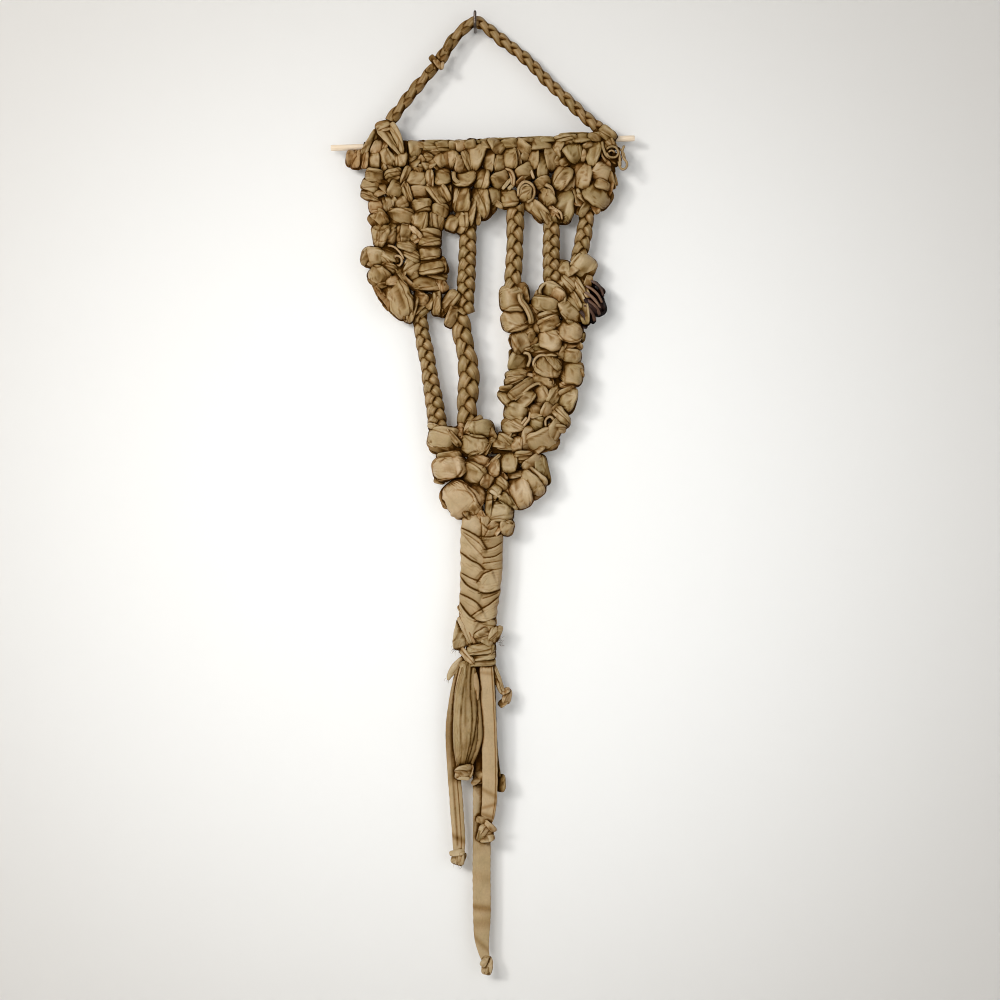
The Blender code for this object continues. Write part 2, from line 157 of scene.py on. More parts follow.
class Face:
    """The relief of one strip's face: how high its points stand, and how much painted shade each takes in its
    creases and under its edges.
    """

    def __init__(self, rng, look, half, u, v, along, across, level, height):
        self.rng, self.look, self.half, self.widest = rng, look, half, half.max()
        self.u, self.v, self.along, self.across = u, v, along, across
        self.soft = np.minimum(1, level * 1.6)
        self.height = height
        # painted shade where the face curves away towards its rim
        self.fold = 0.25 * np.clip(1 - level / 0.5, 0, 1) ** 1.5

    def lip(self, v_at, at, high):
        """A raised edge along the strip, as of cloth folded over, with a painted shadow line at its foot."""
        away = (v_at[None, :] - at) * self.half[:, None] * (1 if high > 0 else -1)
        fade = np.exp(-np.maximum(away, 0) / (0.5 * self.widest))
        self.height = self.height + abs(high) * smooth_step(away / 0.5 + 0.5) * fade * self.soft
        self.fold = self.fold + 0.85 * bell((away + 0.35) / 0.45) * self.soft

    def pleats(self):
        """Folds along the strip, deepest at its tied ends, with painted shade in their valleys."""
        rng, v = self.rng, self.v
        warped = v + 0.22 * np.sin(3.1 * v + rng.uniform(0, 6)) + 0.3 * self.u * rng.uniform(-1, 1)
        wave = np.cos(self.look.pleats * math.pi * warped + rng.uniform(0, 6))
        deep = (0.12 + 0.88 * np.abs(self.u) ** 2) * self.soft
        self.height = self.height + 0.05 * self.widest * wave * deep
        self.fold = self.fold + 0.35 * np.clip(-wave, 0, 1) ** 3 * deep

    def facet(self):
        """A long straight bend, up or down, as in crumpled cloth; a valley gets a painted dark line."""
        rng, along, across, widest = self.rng, self.along, self.across, self.widest
        way = rng.normal(0, 0.5) + (math.pi / 2 if rng.random() < 0.3 else 0)
        away = across * math.cos(way) - along * math.sin(way) - rng.uniform(-0.6, 0.6) * widest
        away = np.abs(away + 0.08 * widest * np.sin(along * rng.uniform(0.2, 0.5)))
        valley = rng.random() < 0.55
        bend = rng.uniform(0.12, 0.3) * np.minimum(np.sqrt(away**2 + 0.09), 0.5 * widest) * self.soft
        self.height = self.height + (bend if valley else -bend)
        if valley:
            self.fold = self.fold + 0.55 * bell(away / 0.6) * self.soft * rng.uniform(0.4, 1)

    def crease(self):
        """A short bowed step in the cloth, with a painted shadow on its lower side."""
        rng, along, across, widest, long = self.rng, self.along, self.across, self.widest, self.look.long
        way = rng.normal(0, 0.42)
        off = rng.uniform(-0.62, 0.62) * widest
        at = rng.uniform(-0.5, 0.5) * long / 2
        bow = rng.normal(0, 0.5) / long
        run = along * math.cos(way) + across * math.sin(way) - at
        away = (across * math.cos(way) - along * math.sin(way) - off + bow * run**2) * rng.choice([-1, 1])
        reach = np.exp(-((run / (0.42 * long)) ** 4)) * self.soft
        high = rng.uniform(0.35, 0.85) * min(1.0, widest / 5)
        fade = np.exp(-np.maximum(away, 0) / (0.7 * widest))
        self.height = self.height + high * reach * smooth_step(away / 1.1 + 0.5) * fade
        self.fold = self.fold + 0.7 * min(1.0, high / 0.5) * reach * bell((away + 0.5) / 0.55)

    def band(self, at, size, amount, slant):
        """A dip across the strip, at a share of its length, darkened with painted shade."""
        away = (self.along - (at - 0.5) * self.look.long - slant * self.across) / size
        self.height = self.height + 0.1 * amount * size * (bell(away - 1.2) - bell(away))
        self.fold = self.fold + amount * bell(away)

    def seam(self, route, high, spot):
        """The edge of a band of cloth that lies over the next one, with a painted shadow under it and thin
        painted crease lines beside it.
        """
        away, held = beside(route, spot[..., 0] + HOOK_ACROSS, HOOK_DOWN - spot[..., 2])
        away = away * (1 if high > 0 else -1)
        held = held * self.soft * abs(high)
        over, under = np.maximum(away, 0), np.maximum(-away, 0)
        step = 1.5 * smooth_step(away / 0.9 + 0.5) * np.exp(-((over / 9) ** 1.5))
        self.height = self.height + held * (step - 0.5 * np.exp(-under / 5) * (away < 0))
        shade = 0.75 * bell((away + 0.5) / 0.6) + 0.25 * np.exp(-under / 4) * (away < 0)
        held = np.minimum(held, 1)
        self.fold = self.fold + held * shade
        for beyond, strong in FOLD_LINES:
            drawn = bell((away - beyond - 0.5 * waves(self.rng, self.along, self.across, 9)) / 0.42)
            broken = np.clip(0.5 + waves(self.rng, self.along, self.across, 12), 0, 1)
            self.fold = self.fold + strong * held * drawn * broken


class Pile:
    """Cloth shells gathered into one piece."""

    def __init__(self, name, seed=1, shade=0.0, seams=()):
        self.name, self.seed, self.shade, self.seams, self.count = name, seed, shade, seams, 0
        self.points, self.quads, self.tris = [], [], []
        self.marks = {"fold": [], "tone": [], "dark": [], "strip": [], "fan": []}

    def shell(self, spine, side, out, half, puff, back, crown, look, u, detail=1.0):
        """One closed strip of cloth along a spine, half wide and puffed out by puff, with its look's relief and
        painted shade.
        """
        rng = np.random.default_rng([self.seed, len(self.points)])
        widest = half.max()
        lips = look.lips if detail >= 0.8 else ()
        theta = section_angles(widest, look.power, lips, detail)
        v_at = np.sign(np.cos(theta)) * np.abs(np.cos(theta)) ** (2 / look.power)
        on_front = theta <= math.pi
        u = u[:, None]
        along = u * look.long / 2
        v = np.clip(v_at[None, :] + np.where(on_front, look.drift * u * (1 - v_at**2)[None, :], 0), -1, 1)
        rise = np.maximum(1 - np.abs(v) ** look.power, 0) ** (1 / look.power) * (1 + look.lean * v)
        uneven = [1 + look.uneven * waves(rng, along, 0 * along, 8) for _ in range(2)]
        across = v * half[:, None] * np.where(v > 0, *uneven)
        level = rise * crown[:, None]
        face = Face(rng, look, half, u, v, along, across, level, puff * level)
        for lip in lips:
            face.lip(v_at, *lip)
        if look.pleats:
            face.pleats()
        face.height = face.height + look.rough * 0.8 * waves(rng, along, across, 11) * face.soft
        for _ in range(look.facets if detail >= 0.7 else 0):
            face.facet()
        for _ in range(look.creases if detail >= 0.7 else 0):
            face.crease()
        for band in look.bands:
            face.band(*band)
        flat = spine[:, None, :] + side[:, None, :] * across[..., None]
        for route, high in look.seams:
            face.seam(route, high, flat)
        height = np.where(on_front, face.height, -back * level)
        # the back takes a little painted shade all over
        fold = np.where(on_front, face.fold, 0.1 + 0.5 * face.fold)
        places = flat + out[:, None, :] * height[..., None]

        rows, columns = across.shape
        index = self.count + np.arange(rows * columns).reshape(rows, columns)
        after = np.roll(index, -1, axis=1)
        self.quads.append(np.stack([index[:-1], after[:-1], after[1:], index[1:]], -1).reshape(-1, 4))
        first = self.count + rows * columns
        self.tris.append(np.stack([np.full(columns, first), after[0], index[0]], -1))
        self.tris.append(np.stack([np.full(columns, first + 1), index[-1], after[-1]], -1))
        self.points.append(np.vstack([places.reshape(-1, 3), look.first, look.last]))
        self.count += rows * columns + 2

        loose = look.turns == 1
        tone = look.tone + 0.08 * waves(rng, along, across, 14)
        gather = look.gather * (0.35 + 0.65 * np.abs(u) ** 1.4 if loose else 1.0)
        tilt = rng.normal(0, 0.5) if loose else 0
        run, over = along / 9, v_at[None, :] * np.clip(widest / 5, 0.7, 2.6)
        fan = (
            run * math.cos(tilt) + over * math.sin(tilt),
            over * math.cos(tilt) - run * math.sin(tilt),
            rng.uniform(0, 50),
        )
        ends = np.zeros((2, 3))
        self.marks["fold"].append(np.r_[np.clip(fold, 0, 1).ravel(), 1, 1])
        self.marks["tone"].append(np.r_[tone.ravel(), look.tone, look.tone])
        self.marks["dark"].append(np.full(rows * columns + 2, look.dark + self.shade))
        for name, parts in (("strip", (along, across, gather)), ("fan", fan)):
            spread = np.stack([part + 0 * across for part in parts], -1).reshape(-1, 3)
            self.marks[name].append(np.vstack([spread, ends]))

    def pad(self, p, detail=1.0, back=0.6, behind=False):
        """A puffed lobe of cloth, as a knot shows it: a strip that comes up and dives again at both ends."""
        rng = np.random.default_rng([self.seed, 7, len(self.points)])
        sunk = p.dark > SUNK
        if p.wide > SMALL and not behind:
            tilt, tip = rng.choice([-1, 1], 2) * rng.uniform(0.16, 0.42, 2)
            p = p._replace(
                long=p.long + (0 if sunk else GROW_LONG),
                wide=p.wide + (0 if sunk else GROW_WIDE),
                roll=p.roll or tilt,
                pitch=p.pitch or 0.55 * tip,
                drift=p.drift or rng.normal(0, 0.45),
                taper=p.taper or rng.normal(0, 0.1),
            )
        n = max(10, int(np.clip(p.long / STEP, 12, 46) * detail))
        angle = np.linspace(-math.pi / 2, math.pi / 2, n + 2)[1:-1]
        square = 2 / (p.corner + (0.7 if p.wide < 16 and not behind else 0.1))
        u = np.sign(np.sin(angle)) * np.abs(np.sin(angle)) ** square
        crown = np.abs(np.cos(angle)) ** (2 / 2.7)
        dive = 0 if behind else 0.17 * min(p.long, 1.6 * p.wide)
        puff = p.puff or float(np.clip(0.34 * min(p.long, p.wide), 1.3, 6.5))
        wobble = 1 + 0.035 * waves(rng, u * p.long / 2, 0 * u, 11)
        half = p.wide / 2 * (1 - p.taper * u) * np.abs(np.cos(angle)) ** square * wobble
        turn, facing = math.radians(p.turn), -1 if behind else 1
        axis = np.array([math.cos(turn), 0, math.sin(turn)])
        up = np.array([-math.sin(turn), 0, math.cos(turn)])
        side, out = up * facing, np.array([0, -1.0 * facing, 0])
        centre = np.array([p.across - HOOK_ACROSS, -MIDDLE, HOOK_DOWN - p.down]) + out * (p.front - puff)
        rise = p.pitch * u * p.long / 2 - dive * np.abs(u) ** 3
        spine = centre + axis * (u * p.long / 2)[:, None] + out * rise[:, None]
        spine = spine + up * (p.bend * (0.5 - u**2))[:, None]
        creases = 0
        if p.wide >= PLAIN and not sunk:
            creases = int(rng.integers(0, 2)) + (min(p.wide, p.long) > 13) + round(1.5 * p.rough)
        plain = behind or p.wide < 6 or sunk
        reach = 0.45 * max(p.long, p.wide)
        end = axis * p.long / 2 + out * p.pitch * p.long / 2
        root = centre - up * 0.5 * p.bend - out * dive
        look = Look(
            lips=() if behind else p.lips,
            pleats=p.pleats or (round(p.wide / 4.6) if p.wide > 7 else 0),
            tone=p.tone,
            dark=p.dark,
            rough=p.rough,
            long=p.long,
            drift=p.drift,
            turns=1,
            power=PLAIN_POWER if behind else LOBE_POWER,
            lean=0 if behind else 0.9 * p.roll,
            creases=creases,
            facets=0 if p.wide < PLAIN or behind else round(4.2 * p.rough),
            uneven=0.03 if p.wide > SMALL else 0,
            gather=float(np.clip(8 / p.wide, 0.25, 1)),
            bands=(),
            seams=[] if plain else [seam for seam in self.seams if touches(seam[0], p.across, p.down, reach)],
            first=root - end,
            last=root + end,
        )
        side, out = np.ones((n, 1)) * (side + out * p.roll), np.ones((n, 1)) * out
        self.shell(spine, side, out, half, puff, back * puff, crown, look, u, detail)

    def strap(self, s, detail=1.0):
        """A strip of cloth along a route of (across, down, front), or with its own width as a fourth column."""
        line = spread_route([(*row, s.wide)[:4] for row in s.route], STEP / detail)
        spine = np.column_stack([line[:, 0] - HOOK_ACROSS, -(MIDDLE + line[:, 2]), HOOK_DOWN - line[:, 1]])
        way = np.gradient(spine, axis=0)
        way /= np.linalg.norm(way, axis=1)[:, None]
        side = np.cross(way, np.array([0, 1.0, 0]))
        side /= np.linalg.norm(side, axis=1)[:, None] + 1e-9
        out = np.cross(way, side)
        out = -out * np.sign(out[:, 1:2])
        side = np.cross(out, way)
        t = np.linspace(0, 1, len(line))
        reach = len(spine) * STEP / detail
        end = np.clip(np.minimum(t, 1 - t) * reach / max(0.6 * s.wide, 1.2), 0, 1)
        rounded = np.sqrt(np.clip(1 - (1 - end) ** 2, 0.02, 1))
        half = line[:, 3] / 2 * (1 - s.narrow * (1 - rounded))
        turns = reach / STRIP_TURN
        look = Look(
            lips=s.lips,
            pleats=s.pleats,
            tone=s.tone,
            dark=s.dark,
            rough=s.rough,
            long=reach,
            drift=0,
            turns=turns,
            power=PLAIN_POWER,
            lean=0,
            creases=round(s.rough * turns * 2) if s.wide > 6 and s.rough > 0.2 else 0,
            facets=0,
            uneven=0.02,
            gather=s.gather,
            bands=s.bands,
            seams=s.seams,
            first=spine[0] - way[0] * 0.3,
            last=spine[-1] + way[-1] * 0.3,
        )
        self.shell(spine, side, out, half, s.thick / 2, s.thick / 2, rounded, look, 2 * t - 1, detail)

    def build(self, material, node_name):
        """The piece, which stands for a node of the frame."""
        points = np.vstack(self.points)
        start = BACK_LIMIT - BACK_EASE
        near = points[:, 1] > start
        points[near, 1] = start + BACK_EASE * np.tanh((points[near, 1] - start) / BACK_EASE)
        quads, tris = np.vstack(self.quads), np.vstack(self.tris)
        mesh = bpy.data.meshes.new(self.name)
        mesh.vertices.add(len(points))
        mesh.vertices.foreach_set("co", (points * MM).astype(np.float32).ravel())
        loops = np.r_[quads.ravel(), tris.ravel()].astype(np.int32)
        mesh.loops.add(len(loops))
        mesh.loops.foreach_set("vertex_index", loops)
        starts = np.r_[np.arange(len(quads)) * 4, len(quads) * 4 + np.arange(len(tris)) * 3].astype(np.int32)
        mesh.polygons.add(len(starts))
        mesh.polygons.foreach_set("loop_start", starts)
        mesh.update(calc_edges=True)
        mesh.validate()
        mesh.polygons.foreach_set("use_smooth", np.ones(len(mesh.polygons), bool))
        mark_points(mesh, {name: np.concatenate(values) for name, values in self.marks.items()})
        mesh.materials.append(material)
        return place(bpy.data.objects.new(self.name, mesh), "khaki_cloth", node_name)


def mark_points(mesh, marks):
    """Gives the points of a mesh a number or a vector of each name."""
    for name, values in marks.items():
        values = np.array(values, np.float32)
        kind, field = ("FLOAT", "value") if values.ndim == 1 else ("FLOAT_VECTOR", "vector")
        mesh.attributes.new(name, kind, "POINT").data.foreach_set(field, values.ravel())


def place(piece, slot, *stands_for):
    """Puts a piece in the scene, on the one body, in place of the nodes that it stands for."""
    bpy.context.scene.collection.objects.link(piece)
    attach(piece, "root")
    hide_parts(*stands_for)
    return piece


# ---------------------------------------------------------------- node trees


class Flow:
    """What flows out of a node. Plain arithmetic on it makes maths nodes."""

    def __init__(self, tree, socket):
        self.tree, self.socket = tree, socket

    def maths(self, operation, *values):
        return node(self.tree, "ShaderNodeMath", self, *values, operation=operation)[0]

    def __add__(self, other):
        return self.maths("ADD", other)

    def __mul__(self, other):
        return self.maths("MULTIPLY", other)

    def __sub__(self, other):
        return self.maths("SUBTRACT", other)

    def __truediv__(self, other):
        return self.maths("DIVIDE", other)

    def ranged(self, start, end, low=0.0, high=1.0, **more):
        inputs = {"Value": self, "From_Min": start, "From_Max": end, "To_Min": low, "To_Max": high, **more}
        return node(self.tree, "ShaderNodeMapRange", **inputs)[0]

    def vector(self, operation, *values, **more):
        return node(self.tree, "ShaderNodeVectorMath", self, *values, operation=operation, **more)[0]

    def scaled(self, amount):
        return self.vector("SCALE", Scale=amount)


class Made:
    """A node, whose outputs are read by name or number."""

    def __init__(self, tree, made):
        self.tree, self.node = tree, made

    def __getitem__(self, which):
        return Flow(self.tree, self.node.outputs[which])


def feed(socket, value):
    """Links a flow to a socket, or sets the socket to a plain value."""
    if isinstance(value, Flow):
        value.tree.links.new(value.socket, socket)
    elif value is not None:
        socket.default_value = (*value, 1) if socket.type == "RGBA" and len(value) == 3 else value


def put(made, **values):
    """Feeds a node's inputs by name."""
    for name, value in values.items():
        feed(made.inputs[name.replace("_", " ")], value)


def node(tree, kind, *values, **more):
    """A new node: its first inputs in order, then its settings, in small letters, and inputs by name."""
    made = tree.nodes.new(kind)
    for name in [name for name in more if name[0].islower()]:
        setattr(made, name, more.pop(name))
    for socket, value in zip(made.inputs, values):
        feed(socket, value)
    put(made, **more)
    return Made(tree, made)


def joined(tree, *parts):
    return node(tree, "ShaderNodeCombineXYZ", *parts)[0]


def split(vector):
    made = node(vector.tree, "ShaderNodeSeparateXYZ", vector)
    return made[0], made[1], made[2]


def noise(tree, place, scale, detail, rough=0.5):
    return node(tree, "ShaderNodeTexNoise", Vector=place, Scale=scale, Detail=detail, Roughness=rough)["Fac"]


def blend(tree, amount, low, high, how="MIX"):
    inputs = (amount, *[None] * 5, low, high)  # the colours come after the inputs for numbers and vectors
    return node(tree, "ShaderNodeMix", *inputs, data_type="RGBA", blend_type=how)[2]


def times_grey(tree, colour, amount):
    grey = node(tree, "ShaderNodeCombineColor", amount, amount, amount)[0]
    return blend(tree, 1.0, colour, grey, "MULTIPLY")


SOCKETS = {float: "Float", int: "Int", tuple: "Color"}


def new_tree(kind, name, inputs, outputs):
    """A node group. Inputs are named with their value, or type if they have none, and outputs with their type."""
    tree = bpy.data.node_groups.new(name, kind)
    for label, value in inputs.items():
        plain = type(value) in SOCKETS
        socket = "NodeSocket" + (SOCKETS[type(value)] if plain else value)
        socket = tree.interface.new_socket(label, in_out="INPUT", socket_type=socket)
        if plain:
            socket.default_value = value
    for label, socket in outputs.items():
        tree.interface.new_socket(label, in_out="OUTPUT", socket_type="NodeSocket" + socket)
    return tree, Made(tree, tree.nodes.new("NodeGroupInput")), tree.nodes.new("NodeGroupOutput")


# ---------------------------------------------------------------- finishes


def woven_cloth():
    """Thin plain weave with its creases, darkened by painted shade, for every cloth finish."""
    tree, given, out = new_tree(
        "ShaderNodeTree",
        "woven cloth",
        {
            "Olive": (0.4, 0.3, 0.12, 1),
            "Rosy": (0.5, 0.35, 0.2, 1),
            "Deepening": 1.9,
            "Crease Strength": 0.9,
            "Gathers": 0.36,
            "Folds": 1.15,
            "Thread": 0.45,
        },
        {"Color": "Color", "Roughness": "Float", "Specular": "Float", "Height": "Float"},
    )
    place = node(tree, "ShaderNodeTexCoord")["Object"]
    strip, fan = (
        node(tree, "ShaderNodeAttribute", attribute_name=name)["Vector"] for name in ("strip", "fan")
    )
    fold, tone, dark = (
        node(tree, "ShaderNodeAttribute", attribute_name=name)["Fac"] for name in ("fold", "tone", "dark")
    )
    along, across, gather = split(strip)
    run, over, seed = split(fan)

    # valleys that fan out from a strip's tied ends, each drawn over a part of its length and painted dark in the
    # colour
    bend = noise(tree, joined(tree, run * 0.8, over * 0.6, seed * 7.0), 1.0, 1.0)
    row = over * given["Folds"] + bend * 2.2 + seed * 3.7
    valley = row.maths("PINGPONG", 0.5)
    drawn = noise(tree, joined(tree, run * 0.8, row.maths("ROUND") * 5.3, seed), 1.0, 0.0).ranged(0.4, 0.66)
    thin = valley.ranged(0.0, 0.15, 1.0, 0.0, interpolation_type="SMOOTHSTEP")

    mottle = noise(tree, place, 70.0, 3.0, 0.6)
    fine = noise(tree, place, 420.0, 2.0, 0.6)
    tinted = (tone + (mottle - 0.5) * 0.9).maths("MAXIMUM", 0.0).maths("MINIMUM", 1.0)
    cloth = times_grey(tree, blend(tree, tinted, given["Olive"], given["Rosy"]), fine * 0.3 + 0.85)
    # painted shade: the marked shade in creases, the dark marks and the fine valleys darken and warm the colour
    # and lower its specular
    shade_sum = thin * drawn * gather * given["Gathers"] + (fold + dark)
    depth = (shade_sum * given["Crease Strength"]).maths("MINIMUM", 1.0)
    deep = node(tree, "ShaderNodeGamma", Color=cloth, Gamma=depth * given["Deepening"] + 1.0)[0]
    bare = depth * -1.0 + 1.0

    warp, weft = ((way * (2 * math.pi) / given["Thread"]).maths("SINE") for way in (along, across))
    crinkle = noise(tree, place, 170.0, 4.0, 0.62)
    relief = (valley * 1.6 + thin * -0.5) * drawn
    put(
        out,
        Color=times_grey(tree, deep, depth.ranged(0.5, 1.0, 1.0, 0.5)),
        Specular=bare * bare * 0.95,
        Roughness=mottle * 0.22 + (depth * 0.35 + 0.31),
        Height=relief * gather + (warp * weft * 0.12 + crinkle) * 0.4,
    )
    return tree


GROUP_OUTPUTS = {"Color": "Base Color", "Roughness": "Roughness", "Specular": "Specular IOR Level"}


def surface(name, group=None, bump=None, group_inputs=(), **values):
    """A material whose colour, roughness and relief come from a group, where it has them."""
    material = bpy.data.materials.new(name)
    material.use_nodes = True
    tree = material.node_tree
    shader = tree.nodes["Principled BSDF"]
    put(shader, **values)
    if group:
        made = node(tree, "ShaderNodeGroup", node_tree=group, **dict(group_inputs))
        for output, label in GROUP_OUTPUTS.items():
            if output in made.node.outputs:
                feed(shader.inputs[label], made[output])
        if bump:
            relief = node(tree, "ShaderNodeBump", Strength=bump[0], Distance=bump[1], Height=made["Height"])
            put(shader, Normal=relief[0])
    return material, tree, shader


WOVEN = woven_cloth()


def cloth_finish(name, olive, rosy, **values):
    return surface(name, WOVEN, (0.6, 0.0009), {"Olive": olive, "Rosy": rosy}, **values)[0]


KHAKI = cloth_finish("khaki cloth", (0.36, 0.262, 0.106), (0.5, 0.351, 0.187))
# the khaki cloth with its deep shade painted into the colour, for the bulge at the right
CLOTH_IN_PAINTED_SHADE = cloth_finish(
    "khaki cloth in deep painted shade", (0.06, 0.024, 0.013), (0.23, 0.12, 0.055), Coat_Weight=0.05, Coat_Roughness=0.1
)


def pale_wood():
    tree, given, out = new_tree(
        "ShaderNodeTree",
        "pale wood grain",
        {"Light": (0.86, 0.72, 0.55, 1), "Deep": (0.72, 0.55, 0.38, 1)},
        {"Color": "Color", "Height": "Float"},
    )
    place = node(tree, "ShaderNodeTexCoord")["Object"]
    stretched = node(tree, "ShaderNodeMapping", Vector=place, Scale=(16.0, 520.0, 520.0))[0]
    grain = noise(tree, stretched, 1.0, 5.0, 0.6)
    put(out, Color=blend(tree, grain.ranged(0.35, 0.7), given["Light"], given["Deep"]), Height=grain)
    return surface("pale wood", tree, (0.25, 0.0003), Roughness=0.5)[0]


def dark_steel():
    tree, given, out = new_tree(
        "ShaderNodeTree",
        "worn dark steel",
        {"Color": (0.08, 0.06, 0.05, 1), "Wear": (0.3, 0.26, 0.22, 1)},
        {"Color": "Color", "Roughness": "Float"},
    )
    rub = noise(tree, node(tree, "ShaderNodeTexCoord")["Object"], 700.0, 4.0, 0.7)
    worn = rub.ranged(0.52, 0.72)
    put(out, Color=blend(tree, worn, given["Color"], given["Wear"]), Roughness=rub * 0.3 + 0.22)
    return surface("dark steel", tree, Metallic=1.0)[0]


# ---------------------------------------------------------------- the knots, as the photograph shows them

# A lobe is P(across, down, long, wide, turn in degrees, how far out its front is). A curl is S(route, wide,
# thick), and its route's points are (across, down, front). An edge is how far the cloth to its right stands
# out, or with a minus, to its left, and then its points. ONE, LOW and TWO are lips: where across a lobe they
# are, and how high.
ONE = ((0.15, 0.8),)
LOW = ((-0.3, 0.8),)
TWO = ((0.4, 0.8), (-0.25, 0.8))

SIDE_NUB = (
    P(351, 157.5, 14, 8, 86, 7, tone=1, dark=0.1),
    P(356, 158.5, 17, 8, 84, 7.8, lips=ONE, tone=1, dark=0.08),
    P(361, 159, 18, 7, 86, 8.6, tone=1, dark=0.05), P(365, 158.5, 19, 6.5, 84, 9.2, lips=ONE, tone=0.9),
)

LEFT_KNOT = (
    P(385, 126.5, 17, 10, 18, 9.5, corner=3, lips=LOW), P(370.5, 142, 29, 7.5, 62, 8.5, bend=-1, lips=LOW),
    P(391, 142, 35, 8, -51, 12.5, taper=0.35, corner=3, lips=((0.1, -0.9),)),
    P(397, 138, 33, 7, -68, 11.5, taper=0.25, bend=1.5, lips=ONE), P(381, 139, 10, 6, 10, 3, dark=0.8),
)

PANEL_LEFT = (
    P(378, 148, 15.5, 10.5, 72, 10.2, corner=2.4, tone=0.9),
    P(385.5, 145, 12, 5.5, 80, 8.5, lips=ONE, tone=0.7), P(387, 158, 18, 13, -56, 10, taper=-0.15, corner=3),
    P(373.5, 161, 16.5, 11.5, 87, 10, taper=0.1, corner=3), P(382.5, 164, 14, 4.5, -68, 9),
    P(386.5, 165, 12, 4, -60, 8.6), P(390, 168, 9, 4, 55, 8),
    P(399, 158.5, 16.5, 15.5, 88, 11.5, corner=3, lips=((0.5, -0.9), (0.12, -0.9))),
    P(415.5, 149.5, 16, 12.5, 84, 10.5, taper=-0.35, corner=3), P(404, 148, 14, 6, 80, 7, dark=0.35),
    P(425, 153, 9, 7, 10, 6, tone=1, dark=0.25), P(411.5, 157, 9, 8, 30, 9), P(414.5, 163, 11, 8, 65, 9.5),
    P(421, 160, 9, 6.5, -50, 9), P(428.5, 158, 10, 7, -20, 9.5, lips=ONE), P(431, 164, 11, 8, 35, 9),
    P(424, 166.5, 10, 6, -15, 8.5), P(418, 168, 9, 5, 10, 8), P(435, 152.5, 12, 5, -12, 8.5, lips=ONE),
    P(437, 166, 10, 6, -50, 8.5), P(429, 151, 9, 4, 15, 8.5),
    P(440, 160, 14, 10, -58, 10, taper=0.1, corner=3),
    P(375, 176, 18, 12.5, -4, 10, taper=0.1, lips=((0.5, -0.8),)),
    P(394, 175.5, 18, 11.5, 22, 10, corner=2.4, lips=TWO), P(393, 169.5, 14, 3.5, -4, 9),
    P(405.5, 176, 19, 6.5, 70, 10.8, lips=ONE), P(417.5, 179, 19, 17.5, 75, 11, corner=3, roll=0.05),
    P(418, 171, 8, 5, -20, 9.5, dark=0.25), P(424, 182, 12, 5, 75, 9, dark=0.35),
    P(430, 180.5, 20, 7, 92, 10.3, lips=((-0.2, 0.7),), tone=0.7),
    P(442.5, 177.5, 17, 15, 5, 11, corner=2.9), P(371, 185.5, 18, 11, -22, 9.8, lips=LOW),
    P(371.5, 194, 20, 11, -8, 9.2, taper=-0.2, lips=((-0.4, 0.8),)), P(381, 193, 14, 5, 22, 9.6, tone=0.8),
    P(386, 190, 18, 5, -45, 8, dark=0.1), P(391, 197, 14, 5, -48, 8.4),
    P(396, 189, 17, 14, 62, 11.2, corner=2.5), P(384, 183, 10, 6, -20, 5.5, dark=0.75),
    P(407, 193, 19, 7.5, -72, 10.4, lips=ONE), P(405, 186, 8, 5, 60, 9.5),
    P(419.5, 192.5, 20, 11, -8, 10.3, taper=-0.2, corner=3, tone=0.75),
    P(435.5, 193.5, 28, 10, -52, 11.5, corner=3.2, lips=LOW),
    P(443, 192, 22, 9, -58, 11, corner=3.2, lips=ONE), P(377.5, 206, 16, 14.5, 10, 11, corner=2.5, tone=1),
    P(385.5, 204, 15, 5, -75, 9.8, bend=1.5), P(389, 204, 14, 4.5, -78, 9.2, bend=1),
    P(392.5, 203, 10, 4, 80, 8.6), P(400.5, 203, 15, 12, 15, 9.8, pleats=3),
    P(410, 205.5, 9, 7, 80, 4, dark=0.85),
    P(422, 206.5, 21, 14, 2, 10.8, corner=3.2, lips=((-0.35, 0.8),), drift=0.5),
    P(440, 210.5, 16, 12.5, -10, 10.8, corner=2.8), P(379, 219.5, 19, 17, -48, 10.5, corner=3),
    P(399, 217, 30, 16.5, -3, 11.8, corner=3.2, rough=0.5), P(411.5, 217.5, 18, 5, -66, 9.6),
    P(420.5, 222, 19, 14.5, 86, 11, corner=3, lips=((-0.6, -0.8),)), P(427, 220, 17, 5, -74, 9.8),
    P(435.5, 221.5, 18, 15, 75, 10.6, corner=3, lips=TWO, drift=0.5),
    P(447.5, 196, 22, 7, 88, 7.5, dark=0.12), P(452, 187, 8, 7, 20, 4, dark=0.85),
    P(450, 206, 10, 7, 80, 4, dark=0.85),
)

